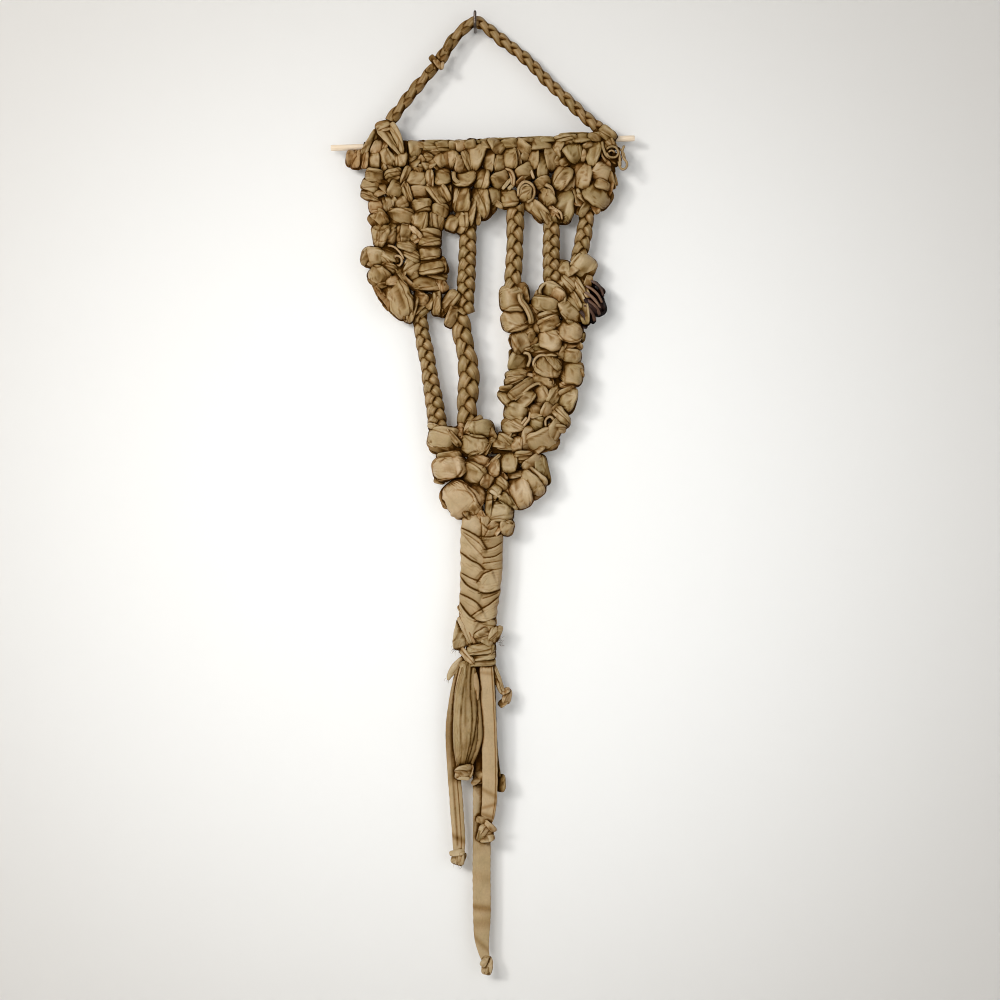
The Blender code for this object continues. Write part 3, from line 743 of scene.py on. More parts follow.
PANEL_MIDDLE = (
    P(450, 158.5, 18, 16, 80, 10.5, tone=0.6), P(461, 146.5, 11, 10, 85, 10.5, taper=-0.3, tone=0.8),
    P(461, 164, 17, 10.5, 92, 10, taper=0.25, tone=0.7), P(467.5, 161, 20, 7, -66, 11, lips=ONE),
    P(475, 155.5, 30, 19, 88, 12.2, taper=-0.55, corner=3.2, rough=0.3),
    P(489, 160, 25, 10.5, 92, 10.5, taper=-0.3, corner=2.4), P(493.5, 161, 22, 3.5, -82, 10.3),
    P(486, 148.5, 12, 5, 40, 9, lips=ONE), P(498, 146.5, 16, 16, 88, 11.5, taper=-0.5, corner=3.2),
    P(501, 162.5, 19, 12.5, 90, 11.5, corner=2.8), P(510.5, 158.5, 21, 12.5, -84, 11.3, corner=2.6),
    P(516.5, 159, 24, 3.5, -80, 10.6, bend=1.5), P(519, 158, 22, 3, -78, 9.8, bend=1.5),
    P(521.5, 148, 20, 13, -40, 10.8, corner=2.8), P(525.5, 157, 12, 8, 60, 8.5),
    P(523, 164, 12, 4, 0, 7, dark=0.4), P(533.5, 158.5, 21, 10, 88, 11.2, corner=2.4),
    P(542.5, 166, 30, 10, 88, 11, corner=3, tone=0.4), P(551.5, 159, 22, 12, -76, 11.4, corner=2.5),
    P(556.5, 152, 12, 6, -70, 10.4), P(558, 161, 10, 6, 60, 9),
    P(463.5, 178, 24, 13, 8, 10.8, bend=-5, tone=0.4), P(467.5, 172, 12, 9, 15, 6, dark=0.6),
    P(472.5, 178, 13, 4, 70, 10, tone=0.9),
    P(482, 178.5, 21, 15, 80, 11.3, corner=2.6, lips=((-0.3, -0.8),)),
    P(488, 176, 15, 6, -60, 9.6, dark=0.1), P(487, 168, 10, 5, -40, 6, dark=0.6),
    P(501, 180, 19, 14, 24, 11.2, corner=3), P(500.5, 171.5, 12, 6.5, 0, 10.4), P(507, 184, 15, 4, 50, 10),
    P(511, 187, 9, 4, 45, 9.4), P(510.5, 177, 18, 3.5, -75, 9.8, bend=2.5, tone=1),
    P(513.5, 178, 16, 4, -88, 8, dark=0.3), P(525, 172.5, 19, 15, 22, 11, corner=3.2),
    P(532, 174, 12, 3, -70, 9.6, tone=1), P(520, 182, 12, 5, 40, 8.5, tone=0.9),
    P(543, 183, 15, 10.5, 26, 10.8, corner=2.8), P(538.5, 192, 8, 6, 80, 3, dark=0.85),
    P(461.5, 198.5, 27, 17, 91, 11.3, corner=3.2, lips=((0.45, 0.9),)), P(455.5, 196, 16, 4, 82, 10),
    P(481, 202, 33, 16.5, -83, 11.5, corner=2.5, lips=((0.2, 0.8),), drift=0.6),
    P(485, 214, 10, 7, 88, 8, taper=-0.5, dark=0.4), P(492, 206, 13, 8, 62, 8, dark=0.35),
    P(487, 191, 13, 4, -60, 10), P(497, 204, 13, 5, -32, 9.5),
    P(494.5, 196, 18, 10.5, -80, 10.6, corner=2.6), P(509, 198.5, 19, 17, 5, 11.8, corner=2.6),
    P(525, 194, 15, 12.5, 85, 12, corner=2.3), P(529, 205, 12, 9, -40, 9),
    P(547, 199, 17, 14.5, -60, 10.8, corner=2.8), P(544, 193.5, 10, 5, -70, 11.2, bend=1.5),
    P(537.5, 209.5, 25, 11.5, -38, 10.3, corner=3.4, rough=0.25), P(546.5, 216, 18, 8, -60, 10.8, lips=ONE),
    P(452.5, 223, 15, 11, 70, 10), P(462.5, 219.5, 17, 11.5, 88, 11, corner=3, lips=LOW),
    P(471, 212, 27, 8, 84, 12, corner=3, lips=ONE), P(478, 215, 20, 4.5, 92, 10),
    P(462, 226, 14, 9, 60, 9.5),
)

MIDDLE_CURLS = (
    S([(518.5, 197, 11.3), (519, 188.5, 11.6), (524, 183, 11.8), (531, 185, 11.8), (534, 192, 11.5),
      (532, 199, 11), (527, 203, 10)], 4, 3.5, tone=0.7),
    S([(521, 195, 12.4), (521.5, 189, 12.6), (526, 186, 12.8), (530, 188, 12.6)], 2.6, 2.4, tone=0.6),
    S([(545, 185, 11.4), (551, 189, 11.6), (553, 196, 11.4), (551, 204, 10.5)], 4.5, 3.5, tone=0.7),
    S([(505, 169.5, 10.6), (511, 171.5, 10.8), (514, 178, 10.4), (513.5, 186, 9.6)], 3.4, 3, tone=0.9),
    S([(453.5, 172, 10), (455, 180, 11), (462, 184.5, 11.3), (470, 183, 11), (474, 177, 10)], 5, 3.5),
)

PANEL_RIGHT = (
    P(574.5, 153, 20, 19, -65, 11.8, corner=3, tone=0.2, rough=0.2),
    P(592.5, 153, 27, 14.5, 88, 11.6, taper=-0.42, corner=3.2, tone=0.25, rough=0.2),
    P(584.5, 155, 12, 5, 75, 8, tone=0.8), P(588, 145, 10, 5, 20, 9), P(562, 150, 14, 8, -60, 8.5),
    P(565, 162, 12, 8, 30, 7.5), P(594, 158, 8, 3, 60, 8.6, tone=1),
    P(583, 175.5, 28, 16, 84, 11.8, corner=2.5, tone=0.7, rough=0.2),
    P(601, 173, 20, 18, 60, 11.6, corner=2.9, tone=0.7, rough=0.2),
    P(562, 178, 25, 17, 68, 11.3, lips=((0.45, -0.8),), tone=0.6), P(568.5, 186, 15, 6, 55, 8.8),
    P(572, 170, 10, 7, 60, 4, dark=0.7), P(573, 182, 14, 4, 85, 8.5, tone=0.8),
    P(575, 166, 9, 5, 0, 5, dark=0.5), P(611.5, 180, 17, 5, -72, 8.5, dark=0.2),
    P(615, 179, 14, 4, -75, 7.4, dark=0.35), P(608, 184, 9, 5, -60, 8),
    P(610, 189, 13, 5, 78, 7.5, tone=1, dark=0.3),
    P(597.5, 194.5, 28, 24, -38, 12.2, corner=3, tone=0.35, rough=0.2),
    P(602.5, 185.5, 15, 9, -22, 12.4, corner=2.5), P(576.5, 197, 18, 4.5, -74, 10.2),
    P(580, 196.5, 17, 4, -68, 10.4), P(583.5, 196.5, 13, 9.5, -38, 10.9, corner=2.6),
    P(580, 203.5, 15, 6, -10, 9.8, tone=0.9), P(574, 208, 9, 8, 70, 4, dark=0.85),
    P(588, 201.5, 10, 5, 60, 9), P(563, 204.5, 35, 20, 88, 12.2, corner=3, tone=0.15, rough=0.2),
    P(569.5, 214, 20, 7, 62, 9.5, lips=ONE, dark=0.25), P(585.5, 208, 20, 7.5, 58, 11.2, tone=0.3),
    P(594.5, 207, 14, 6, -60, 10.4, tone=0.9), P(580, 210, 10, 6, 70, 9.8),
    P(552.5, 213, 14, 8, -48, 9.8, tone=1), P(549, 207, 8, 4, 10, 4, dark=0.7),
    P(571, 192, 12, 5, 60, 7, dark=0.3),
)

RIGHT_CURLS = (
    S([(549, 208.5, 11), (555, 210, 12.6), (560.5, 214, 13.2), (562, 220, 12)], 2.8, 2.6, tone=1),
    S([(551, 212, 11.5), (556, 214.5, 12.2), (560, 219.5, 12)], 2.6, 2.2, tone=0.9, dark=0.2),
)

HEADER = (
    P(431.5, 146.5, 17, 8.5, -2, 10.8, corner=3.4, lips=ONE, tone=0.25),
    P(444.5, 146.5, 18, 8.5, 4, 10.5, corner=3.4, lips=LOW, tone=0.25),
    P(455, 145.5, 12, 7.5, 3, 10.8, corner=3.2, tone=0.4), P(421, 145.5, 10, 6, 0, 9.6, dark=0.1),
    P(470, 145, 11, 7, 12, 10.5, corner=3, tone=0.4), P(487, 145, 13, 7.5, -2, 10.6, corner=3, tone=0.4),
    P(509, 144, 16, 8, 5, 10.4, corner=3.2, tone=0.3),
    P(526, 143.5, 16, 8, -3, 10.8, corner=3.2, lips=ONE, tone=0.35),
    P(541, 144.5, 22, 10.5, 2, 11, corner=3.2, tone=0.35), P(547, 139.5, 16, 5, 3, 9.5, tone=0.1),
    P(564, 140.5, 20, 9.5, 3, 11, corner=3.4, lips=TWO, tone=0.3), P(558, 147, 14, 8, 60, 10, tone=0.4),
    P(566, 147, 14, 6, 35, 8, dark=0.3), P(583, 138.5, 18, 8, 8, 11, corner=3.2, tone=0.3),
    P(572, 139, 10, 7, 0, 10.2, tone=0.3), P(575, 145, 10, 5, 10, 7, dark=0.3),
    P(401, 144, 8, 7, 60, 8, dark=0.3), P(437, 141.9, 26, 4, 0, 8.5, tone=0, dark=0.15),
    P(500, 139.8, 40, 3.8, 2, 8.5, tone=0, dark=0.12), P(466, 142, 30, 4, 1, 8.4, tone=0, dark=0.12),
    P(532, 138.6, 30, 4, 3, 8.4, tone=0, dark=0.12), P(575, 135.6, 32, 4.5, 4, 8.6, tone=0, dark=0.1),
)

RIGHT_KNOT = (
    P(595.5, 137.5, 15, 7.5, -3, 11, corner=3, tone=0.35),
    P(607, 134.5, 18, 11, -42, 11.6, corner=3.2, lips=LOW, tone=0.3),
    P(609, 143, 14, 9, -60, 10.4, lips=ONE), P(604.5, 147, 13, 6, -70, 9.6),
    P(600, 131, 12, 6, 10, 8, dark=0.25), P(606, 156, 12, 8, -60, 7, dark=0.3),
    P(614, 158, 12, 9, -40, 6.5, dark=0.3), P(605, 163, 12, 7, -50, 7.4, tone=1, dark=0.15),
    P(611, 166, 12, 6, -70, 5, dark=0.5),
)

RIGHT_KNOT_CURLS = (
    S([(602, 142, 10), (603, 149, 11.5), (606, 156, 11.2), (611, 159, 10)], 3.2, 2.6),
    S([(606, 150, 11.8), (611, 147.5, 12.6), (616, 149, 12.6), (618, 154, 12), (615, 158, 11.6),
      (609, 157.5, 11.8), (606, 153.5, 12)], 2.6, 2.4, tone=0.6),
    S([(608, 153, 12), (611.5, 151.5, 12.8), (614.5, 153.5, 12.4)], 2.2, 2, tone=0.8),
    S([(613, 143, 10.5), (617, 149, 10.8), (619, 156, 10.5), (620, 162, 10), (620, 167, 10)], 3.4, 2.8),
    S([(624, 146, 9), (622, 152, 9.6), (623, 158, 10), (626.5, 163, 10), (626, 168, 10), (622.5, 170, 10),
      (619.5, 167, 10), (618.5, 161, 9.6)], 3, 2.6),
    S([(616, 147, 9), (620, 150, 9.5), (623.5, 154, 9.5), (625, 160, 9)], 2.4, 2.2, tone=0.4),
    S([(601, 150, 9.5), (602, 156, 10), (606, 162, 9.4)], 3, 2.5, tone=0.9, dark=0.1),
)

LOBE_LEFT = (
    P(380.5, 236.5, 24, 15, 82, 10.6, taper=-0.45, corner=3, lips=((0.1, 0.8),)),
    P(391, 236, 17, 9.5, 78, 11, corner=2.5, tone=0.6), P(391.5, 226.5, 9, 5, 30, 9.5),
    P(400, 235.5, 18, 7, 88, 10.2, tone=0.7), P(406, 234.5, 19, 9.5, 86, 10.9, corner=3),
    P(413, 230, 14, 4, -42, 10.4, tone=1), P(416.5, 233, 15, 5, -45, 9.8, tone=0.8),
    P(416, 240.5, 9, 5, 25, 8.4, tone=0.9), P(413, 237, 8, 6, -60, 9),
    P(430, 234.5, 20, 11, -5, 11.3, corner=3.2, lips=ONE),
    P(429.5, 241.5, 21, 9.5, -4, 11, corner=3.2, lips=LOW),
    P(429.5, 252.5, 21, 14.5, 0, 11.3, corner=3.2, lips=((0.55, -0.7),)),
    P(407, 246, 19, 10, -24, 10.6, corner=3, lips=ONE),
    P(410.5, 254.5, 22, 9.5, -34, 10.4, corner=3, lips=TWO), P(416.5, 246, 8, 8, 80, 4, dark=0.8),
    P(431, 266.5, 26, 17, 2, 12, corner=3.4, lips=((0.4, -0.8), (-0.45, 0.8))),
    P(442, 265, 16, 8, -75, 9.5, dark=0.12), P(427.5, 283.5, 31, 14, 3, 12, corner=3.2, tone=0.6),
    P(436, 275, 22, 7, -14, 10.8, lips=ONE), P(441.5, 284, 16, 8, -62, 11, lips=ONE, tone=0.9),
    P(417.5, 288, 13, 6, -45, 10.6, lips=ONE, tone=0.9),
    P(413, 267, 19, 14, 72, 11, corner=2.8, lips=ONE, rough=0.6), P(404, 271, 18, 6, 68, 10.2),
    P(402.5, 276, 22, 5, -52, 10.2), P(406, 281, 25, 5, -44, 10.6, tone=0.7),
    P(412, 285, 20, 4, -42, 10.2, tone=0.9), P(414, 276, 10, 6, 20, 10), P(409, 262, 10, 5, 60, 10.4),
    P(398.5, 268, 9, 5, 60, 9), P(389.5, 254, 25, 12, -27, 11.4, corner=2.4, lips=((0.5, -0.8),)),
    P(388.5, 263.5, 28, 6.5, -52, 11.2, corner=3, lips=ONE), P(373.5, 257.5, 24, 19, -12, 12, corner=2.8),
    P(366, 257, 17, 5, 72, 10.6, dark=0.1), P(363.5, 258, 14, 4, 78, 9, dark=0.2),
    P(371, 265, 14, 4, -25, 9, dark=0.2), P(379.5, 277, 23, 18, -42, 11, corner=3),
    P(388, 268, 17, 8.5, -22, 10.6, lips=ONE), P(384, 285, 12, 5, 20, 9, dark=0.2),
    P(398.5, 297.5, 43, 25, -66, 12.8, lips=((0.55, -0.7),), rough=0.2),
    P(411.5, 309, 26, 10, 72, 12, lips=((-0.2, -0.8),)), P(394, 281, 15, 9, 5, 12.2, tone=0.8),
    P(404.5, 313, 14, 3, 88, 10, dark=0.5), P(377, 290, 14, 5, -62, 8, dark=0.4),
    P(381, 294, 15, 5, -55, 8.6, tone=1, dark=0.3), P(385, 299, 16, 5, -55, 9, tone=1, dark=0.3),
    P(382, 301, 12, 4, -50, 7.5, dark=0.45), P(389, 305, 14, 5, -68, 9.4, tone=1, dark=0.35),
    P(386, 307, 10, 4, -50, 7.4, dark=0.5), P(390.5, 296, 9, 4, 60, 10, dark=0.2),
    P(392, 309, 8, 5, -70, 8, dark=0.5), P(421, 299.5, 15, 13, -20, 11.2, taper=0.3, tone=0.8),
    P(429, 302, 14, 8, 70, 10, lips=ONE), P(436.5, 302, 25, 8, 87, 11.2, lips=ONE),
    P(440.5, 310, 10, 8, 80, 9.4, dark=0.12), P(448, 303, 28, 12, 50, 11.4, corner=3, lips=LOW),
    P(453, 315, 24, 10, 66, 11.6, corner=3, tone=0.7), P(455, 300, 12, 8, 60, 8.5, dark=0.25),
    P(418, 309, 20, 6, 42, 10.6, lips=ONE), P(423, 312, 18, 7, 40, 9.8, tone=0.2),
    P(420, 265, 8, 6, 80, 4, dark=0.7), P(423, 297, 10, 3, 10, 5, dark=0.6),
)

LEFT_EDGES = edges(
    (1, 369, 264.5, 378, 269, 387, 264.5), (1.2, 384, 283, 390, 278, 396.5, 274.5, 402, 276),
    (-1, 396.5, 273.5, 405.5, 284.5, 418, 292), (0.7, 384, 285, 392, 289, 400, 296, 405, 308),
    (0.6, 389, 296, 396, 303, 400, 314), (0.8, 379, 250, 386, 252, 394, 258, 398, 266),
    (0.7, 373, 271, 380, 276, 386, 282), (1, 420, 248.5, 431, 250, 441, 249),
    (1.2, 421, 260, 433, 258, 446, 262), (0.9, 422, 238, 431, 240, 441, 238),
    (1.1, 418, 288, 427, 284, 435, 282.5, 446, 286), (0.8, 420, 301, 427, 295, 438, 292),
    (0.9, 434.5, 292, 441, 302, 444, 315), (0.5, 424, 268, 434, 271, 446, 269),
    (1, 409, 296, 414, 303, 413, 314), (0.6, 402, 281, 410, 287, 417, 296),
    (0.8, 446, 300, 452, 307, 455, 318), (0.9, 440, 318, 448, 312, 458, 309),
    (0.9, 370, 215.5, 378, 213, 384, 214, 391, 222), (1, 386, 214, 393, 210, 400, 209, 412, 214),
    (-0.9, 386, 216, 394, 223, 409, 226), (0.8, 369, 196, 378, 199, 384, 206),
    (0.8, 396, 184, 404, 188, 407, 198), (0.8, 415, 200, 424, 203, 431, 209),
    (0.9, 372, 228, 380, 232, 388, 229), (0.7, 375, 241, 384, 243, 392, 238),
    (0.7, 396, 233, 403, 238, 411, 236), (0.7, 398, 170, 404, 176, 406, 186),
    (0.9, 428, 185, 436, 192, 447, 203),
)

LEFT_CURLS = (
    S([(388, 246, 11.5), (395, 248, 12), (401, 254, 12), (404, 260, 10.8)], 2.6, 2.4, tone=0.9),
    S([(394, 260, 11), (396, 256.5, 11.6), (400.5, 257.5, 11.8), (402, 262, 11.4), (399.5, 266, 11),
      (395, 265, 10.8)], 3, 2.6, tone=0.9),
)

CLUSTER_EDGES = edges(
    (1.3, 441, 417, 446, 425, 451, 434, 457, 441, 459, 450, 463, 456),
    (0.7, 438, 453, 445, 452, 453, 451.5, 458, 452), (0.5, 430, 443, 436, 441.5, 442, 443),
    (-1.2, 467, 434, 474, 437, 482, 438, 491, 437), (0.5, 474, 423, 473, 436),
    (0.6, 460, 438, 464, 434, 469, 433), (-1.1, 462, 450, 467, 454, 473, 455, 480, 455, 487, 450, 490, 444),
    (0.5, 470, 455, 478, 451, 484, 446), (1.1, 441, 462, 448, 457, 455, 455, 462, 457),
    (1, 462, 457, 466, 461, 463, 468, 460, 473, 456, 478), (-1, 434, 476, 440, 479.5, 450, 479.5, 456, 478),
    (0.9, 466, 462, 472, 464, 479, 469, 484, 475, 485, 480), (-0.9, 461, 481, 468, 483, 475, 483, 481, 486),
    (0.5, 490, 457, 483, 467), (1.3, 440, 480, 450, 479, 460, 482, 468, 486),
    (1.4, 468, 488, 473, 493, 477, 500, 479, 505), (1.2, 479, 505, 472, 510, 463, 519),
    (0.7, 471, 486, 476, 484, 481, 487, 485, 492), (1, 485, 492, 484, 502, 482, 512, 486, 520),
    (0.5, 472, 510, 476, 517), (0.5, 475, 508, 481, 516), (0.5, 468, 513, 472, 518),
    (0.7, 500, 452, 500, 461, 500, 470), (-0.6, 515, 452, 516, 462, 518, 470),
    (-0.9, 500, 472, 508, 474, 518, 470), (0.7, 484, 468, 490, 462, 499, 457),
    (0.7, 490, 473, 496, 477, 500, 475), (0.9, 508, 478, 508, 490, 513, 500, 517, 507),
    (1.3, 488, 501, 494, 500, 500, 501, 508, 506, 512, 510), (0.9, 490, 520, 500, 519, 507, 521, 512, 524),
    (0.7, 498, 499, 506, 493, 512, 503), (0.6, 484, 537, 489, 527), (0.6, 492, 532, 500, 523),
)

LOBE_EDGES = edges(
    (1.1, 501, 310.5, 506, 310, 512, 307, 519, 307),
    (1.1, 519, 307, 524, 311, 527, 316, 526, 322, 522, 326, 510, 331, 506, 335),
    (0.6, 518, 300, 519, 295, 523, 297, 526, 304), (-0.9, 511, 338, 516, 347, 522, 353, 529, 350, 533, 346),
    (0.5, 511, 354, 515, 349), (0.8, 513, 371, 520, 366, 528, 362),
    (1.3, 505, 386, 512, 383, 520, 380, 527, 378), (0.7, 510, 392, 520, 387, 530, 380, 534, 377),
    (1.1, 515, 398, 525, 392, 533, 386, 539, 383, 545, 387, 550, 390), (0.7, 515, 398, 507, 391, 502, 388),
    (0.7, 512, 401, 506, 405, 504, 409), (0.7, 530, 404, 534, 395, 537, 389),
    (1, 533, 370, 534, 362, 538, 357, 545, 355),
    (1, 548, 354, 555, 355, 560, 359, 562, 365, 561, 372, 558, 378), (-0.8, 541, 372, 536, 368, 536, 362),
    (0.6, 551, 370, 553, 378, 556, 384), (0.8, 540, 330, 547, 328, 555, 327, 556, 332, 563, 341),
    (0.9, 545, 311, 552, 313, 558, 314, 561, 312), (0.9, 534, 297, 545, 298, 553, 299, 559, 303),
    (0.8, 563, 290, 566, 297, 563, 304), (0.7, 562, 315, 568, 320, 575, 322),
    (0.9, 557, 325, 565, 321, 573, 322, 580, 326), (0.9, 563, 341, 570, 343, 578, 341, 582, 338),
    (0.7, 559, 383, 566, 387, 572, 384, 576, 388), (0.7, 559, 398, 565, 394, 573, 390),
)

LOBE_RIGHT = (
    P(514.5, 298, 28, 27, 3, 12.4, corner=3.8, tone=0.6, rough=0.2), P(525, 295, 16, 6, -80, 9.6, dark=0.15),
    P(515, 320, 25.5, 23, 14, 12.8, corner=3.3, tone=0.65, rough=0.15),
    P(507.5, 323, 14, 5, -78, 11, dark=0.2), P(533, 315, 22, 5.5, -66, 10.2, bend=2),
    P(536.5, 318, 19, 4.5, -64, 9.6, bend=1.5), P(529, 324, 10, 6, 40, 9.6),
    P(535, 327, 14, 6, -75, 8, dark=0.15), P(524, 331, 10, 5, -60, 10.5), P(529, 332, 12, 6, 50, 9.8),
    P(551, 291.5, 23, 14, -14, 11.8, corner=2.6, tone=0.4),
    P(556.5, 296, 15, 13.5, -35, 13.2, corner=2.4, tone=0.9, rough=0.15), P(538, 296, 12, 7, 70, 8.5),
    P(546.5, 305, 30, 15.5, -9, 12.2, corner=3, tone=0.4, rough=0.2), P(536, 308, 12, 7, -50, 9, dark=0.3),
    P(549, 315, 23, 8, 14, 10.8, lips=ONE),
    P(549, 324, 22, 13, 22, 11.8, corner=3, lips=((0.5, -0.6),), tone=0.6),
    P(550, 340, 25, 20, -14, 13, corner=3, tone=0.7, rough=0.15), P(558, 320, 8, 5, -30, 5, dark=0.6),
    P(557, 331, 8, 4, 75, 8, dark=0.3),
    P(571, 311, 32, 19, -64, 12.6, lips=((0.5, 0.6),), tone=0.45, rough=0.25),
    P(584, 311, 26, 9, -82, 11, tone=0.15), P(576, 300, 18, 5, -60, 11, lips=ONE),
    P(580, 296, 20, 5, -62, 10.6), P(571, 283, 21, 13, -58, 11.4, corner=2.8, lips=TWO),
    P(579, 286, 20, 6, -62, 10.8, lips=ONE), P(584, 289, 22, 6, -68, 10.2),
    P(566, 284, 14, 8, 62, 10, tone=0.4), P(560, 279, 13, 7, 60, 9.6), P(565, 275, 8, 6, 70, 5.5, dark=0.7),
    P(583.5, 268, 26, 21, 52, 11.4, corner=3, tone=0.45, rough=0.3), P(572, 271, 15, 7, 40, 11.2),
    P(588, 283, 14, 7, 75, 10, dark=0.1), P(577, 261, 16, 7, 50, 10.4),
    P(569, 332, 26, 20, -10, 12.6, corner=3.1, tone=0.6, rough=0.12),
    P(578, 336, 9, 12, 80, 10.4, tone=0.1, dark=0.15), P(570.5, 345, 15, 6.5, 18, 10, tone=0.7),
    P(577, 344, 13, 6, -48, 9.6), P(566, 349, 11, 6, 62, 9.8, lips=ONE),
    P(560, 346, 12, 8, 20, 5.5, dark=0.65), P(521.5, 342.5, 22, 20, -70, 12, corner=2.9, tone=0.65),
    P(532, 344, 16, 7, 62, 8.5, dark=0.3), P(531, 337, 12, 6, 70, 9, dark=0.15),
    P(516, 335, 12, 5, 15, 10.6), P(518.5, 361.5, 22, 18, 76, 11.2, corner=3, tone=0.25),
    P(528, 352, 12, 7, 10, 9.6, lips=ONE), P(530, 344, 10, 5, -60, 7.5, dark=0.4),
    P(517, 375, 21, 10.5, 14, 11, corner=3.2, lips=ONE),
    P(515.5, 381.5, 20, 9.5, 12, 10.6, corner=3.2, lips=LOW), P(526, 372, 10, 4, -20, 8, dark=0.35),
    P(508.5, 397.5, 20, 14, -58, 10.4, taper=0.2, corner=3, tone=0.35),
    P(522.5, 389, 31, 11.5, 34, 12.6, corner=3.6, tone=0.55, rough=0.2),
    P(524.5, 399.5, 23, 13, 42, 11.8, corner=3, tone=0.4), P(507, 388.5, 14, 5, 2, 10.4),
    P(549, 366.5, 28, 22, -24, 13.8, corner=2.8, tone=0.6, rough=0.2),
    P(556.5, 374, 12, 9, 62, 12.2, tone=0.3, dark=0.1), P(553, 362, 20, 7, -50, 13.4, lips=ONE),
    P(542, 381, 25, 11, -33, 12, corner=3, tone=0.6), P(533.5, 375.5, 14, 4, -8, 9.8, tone=0.8),
    P(550.5, 380, 14, 5, -60, 11.4), P(530, 380, 10, 4, -10, 9.2, dark=0.2),
    P(545, 352.5, 30, 8, 3, 10.6, lips=ONE), P(563, 268, 15, 13, 80, 9, tone=0.4),
    P(531, 367, 12, 9, 0, 7, dark=0.5), P(557.5, 381.5, 12, 9, 0, 7, dark=0.5),
    P(574, 348, 12, 9, 0, 7, dark=0.5), P(566.5, 293, 12, 10, 0, 7, dark=0.5),
    P(578, 322, 12, 9, 0, 7, dark=0.4), P(538, 347.5, 14, 6, 10, 10.4, tone=0.1),
    P(562.5, 353, 13, 6.5, 66, 10.8), P(553, 354, 16, 4, 12, 11),
    P(572, 356, 17, 12.5, -8, 11.3, corner=3, rough=0.5),
    P(571.5, 373.5, 22, 21, -8, 12.2, corner=3, tone=0.45, rough=0.15),
    P(572.5, 362, 7, 4, -30, 7, dark=0.6), P(580, 374, 8, 7, -60, 9, dark=0.15),
    P(568.5, 384.5, 18, 6.5, 8, 11, lips=ONE, tone=0.8),
    P(567.5, 399.5, 26, 16, 72, 11.6, corner=3, tone=0.3, rough=0.15), P(567, 390.5, 17, 5, 22, 11.4),
    P(557, 388, 12, 5, -5, 6, dark=0.5), P(541.5, 395, 19, 13.5, -78, 11.8, corner=3, tone=0.7),
    P(554, 395, 21, 11, 66, 11.9, corner=2.6, lips=ONE), P(548, 402, 9, 6, 40, 7, dark=0.4),
    P(536.5, 411, 15, 13, 8, 11.4, corner=3, tone=0.7),
    P(548.5, 410.5, 17, 13.5, 62, 11.8, corner=2.8, tone=0.75), P(556, 408, 12, 6, 40, 8.5, dark=0.2),
    P(541, 404, 12, 4, 8, 9, dark=0.2), P(537, 424, 15.5, 13.5, 6, 11.4, corner=3, tone=0.2),
    P(559, 418, 23, 17, -62, 11, corner=3, lips=TWO, tone=0.45),
    P(556.5, 428, 18, 7, -12, 11.4, lips=ONE, tone=0.6), P(545, 425, 12, 5, 80, 7, dark=0.4),
    P(516, 412, 22, 18, -10, 11.4, corner=3.2, tone=0.4), P(526, 410, 12, 6, -40, 8.5, dark=0.25),
    P(513.5, 425, 22, 14, 4, 11, corner=3, lips=ONE, tone=0.6), P(510, 433, 14, 8, 20, 10),
    P(519, 436, 12, 8, 10, 4.5, dark=0.8), P(527.5, 439, 26, 12, 84, 12, corner=3, tone=0.7, rough=0.3),
    P(523, 430, 12, 5, 60, 9.4), P(542, 440.5, 32, 20.5, 18, 13.2, corner=3.6, tone=0.55, rough=0.1),
    P(554.5, 430, 22, 12, 62, 12.6, corner=3.2, rough=0.1), P(543, 431.5, 26, 3.5, 2, 8.5, dark=0.35),
    P(538, 450, 14, 6, 40, 11, dark=0.05), P(516, 444.5, 15, 12.5, -86, 11.2, tone=0.85),
    P(505.5, 440, 17, 9, -28, 10.4, lips=ONE), P(507.5, 434.5, 12, 7, 60, 10.2),
    P(499, 443.5, 15, 8, -10, 9.8), P(492, 443, 11, 8, 60, 9), P(506, 447, 18, 5, -8, 9.6),
    P(502, 451, 22, 5, 0, 5.5, dark=0.7), P(533, 453.5, 12, 5, -20, 9, tone=0.8),
    P(494, 450, 12, 8, -20, 6, dark=0.6),
)

RIGHT_LOBE_CURLS = (
    S([(520, 294, 12), (521, 301, 13.2), (526, 308, 13.4), (530, 316, 12.6), (531.5, 324, 11.5)], 7, 5,
      lips=((0.3, 0.6),), tone=0.55),
    S([(540.5, 297, 10.6), (540, 290, 11.8), (545, 284, 12), (552, 283, 12), (559, 288, 12.2),
      (564, 294, 12.2), (564.5, 301, 11.6), (561, 307, 10.8)], 3.6, 3.2, tone=0.55),
    S([(523, 353, 11.4), (528.5, 354.5, 12), (530, 360, 11.8), (527.5, 367, 11)], 3.6, 3, tone=0.7),
    S([(551, 358, 12.6), (543, 355.5, 13), (537, 357.5, 13.2), (533.5, 363.5, 13.2), (536, 370, 12.8),
      (541.5, 375.5, 12)], 3.4, 3, tone=0.85),
    S([(514.5, 400, 12.4), (523, 393.5, 13.4), (531, 387, 13.6), (538.5, 384, 12.6), (545, 388, 11.6)], 3.6,
      3, tone=0.6),
    S([(519, 432, 10.5), (524, 425.5, 11.6), (529, 419, 11.6), (530.5, 412, 10.6)], 3.6, 3, tone=0.9),
    S([(514, 429, 10.8), (521, 424.5, 11.6), (527, 417.5, 11.4)], 3.4, 2.8, tone=0.9),
    S([(546, 428, 11.2), (545.5, 420.5, 12), (550, 417, 12.2), (553.5, 421, 12), (550, 425, 11.6)], 3, 2.6,
      tone=0.7),
    S([(550, 389, 11.6), (552.5, 383, 12.4), (551, 377, 12)], 3.4, 3, tone=0.7),
)
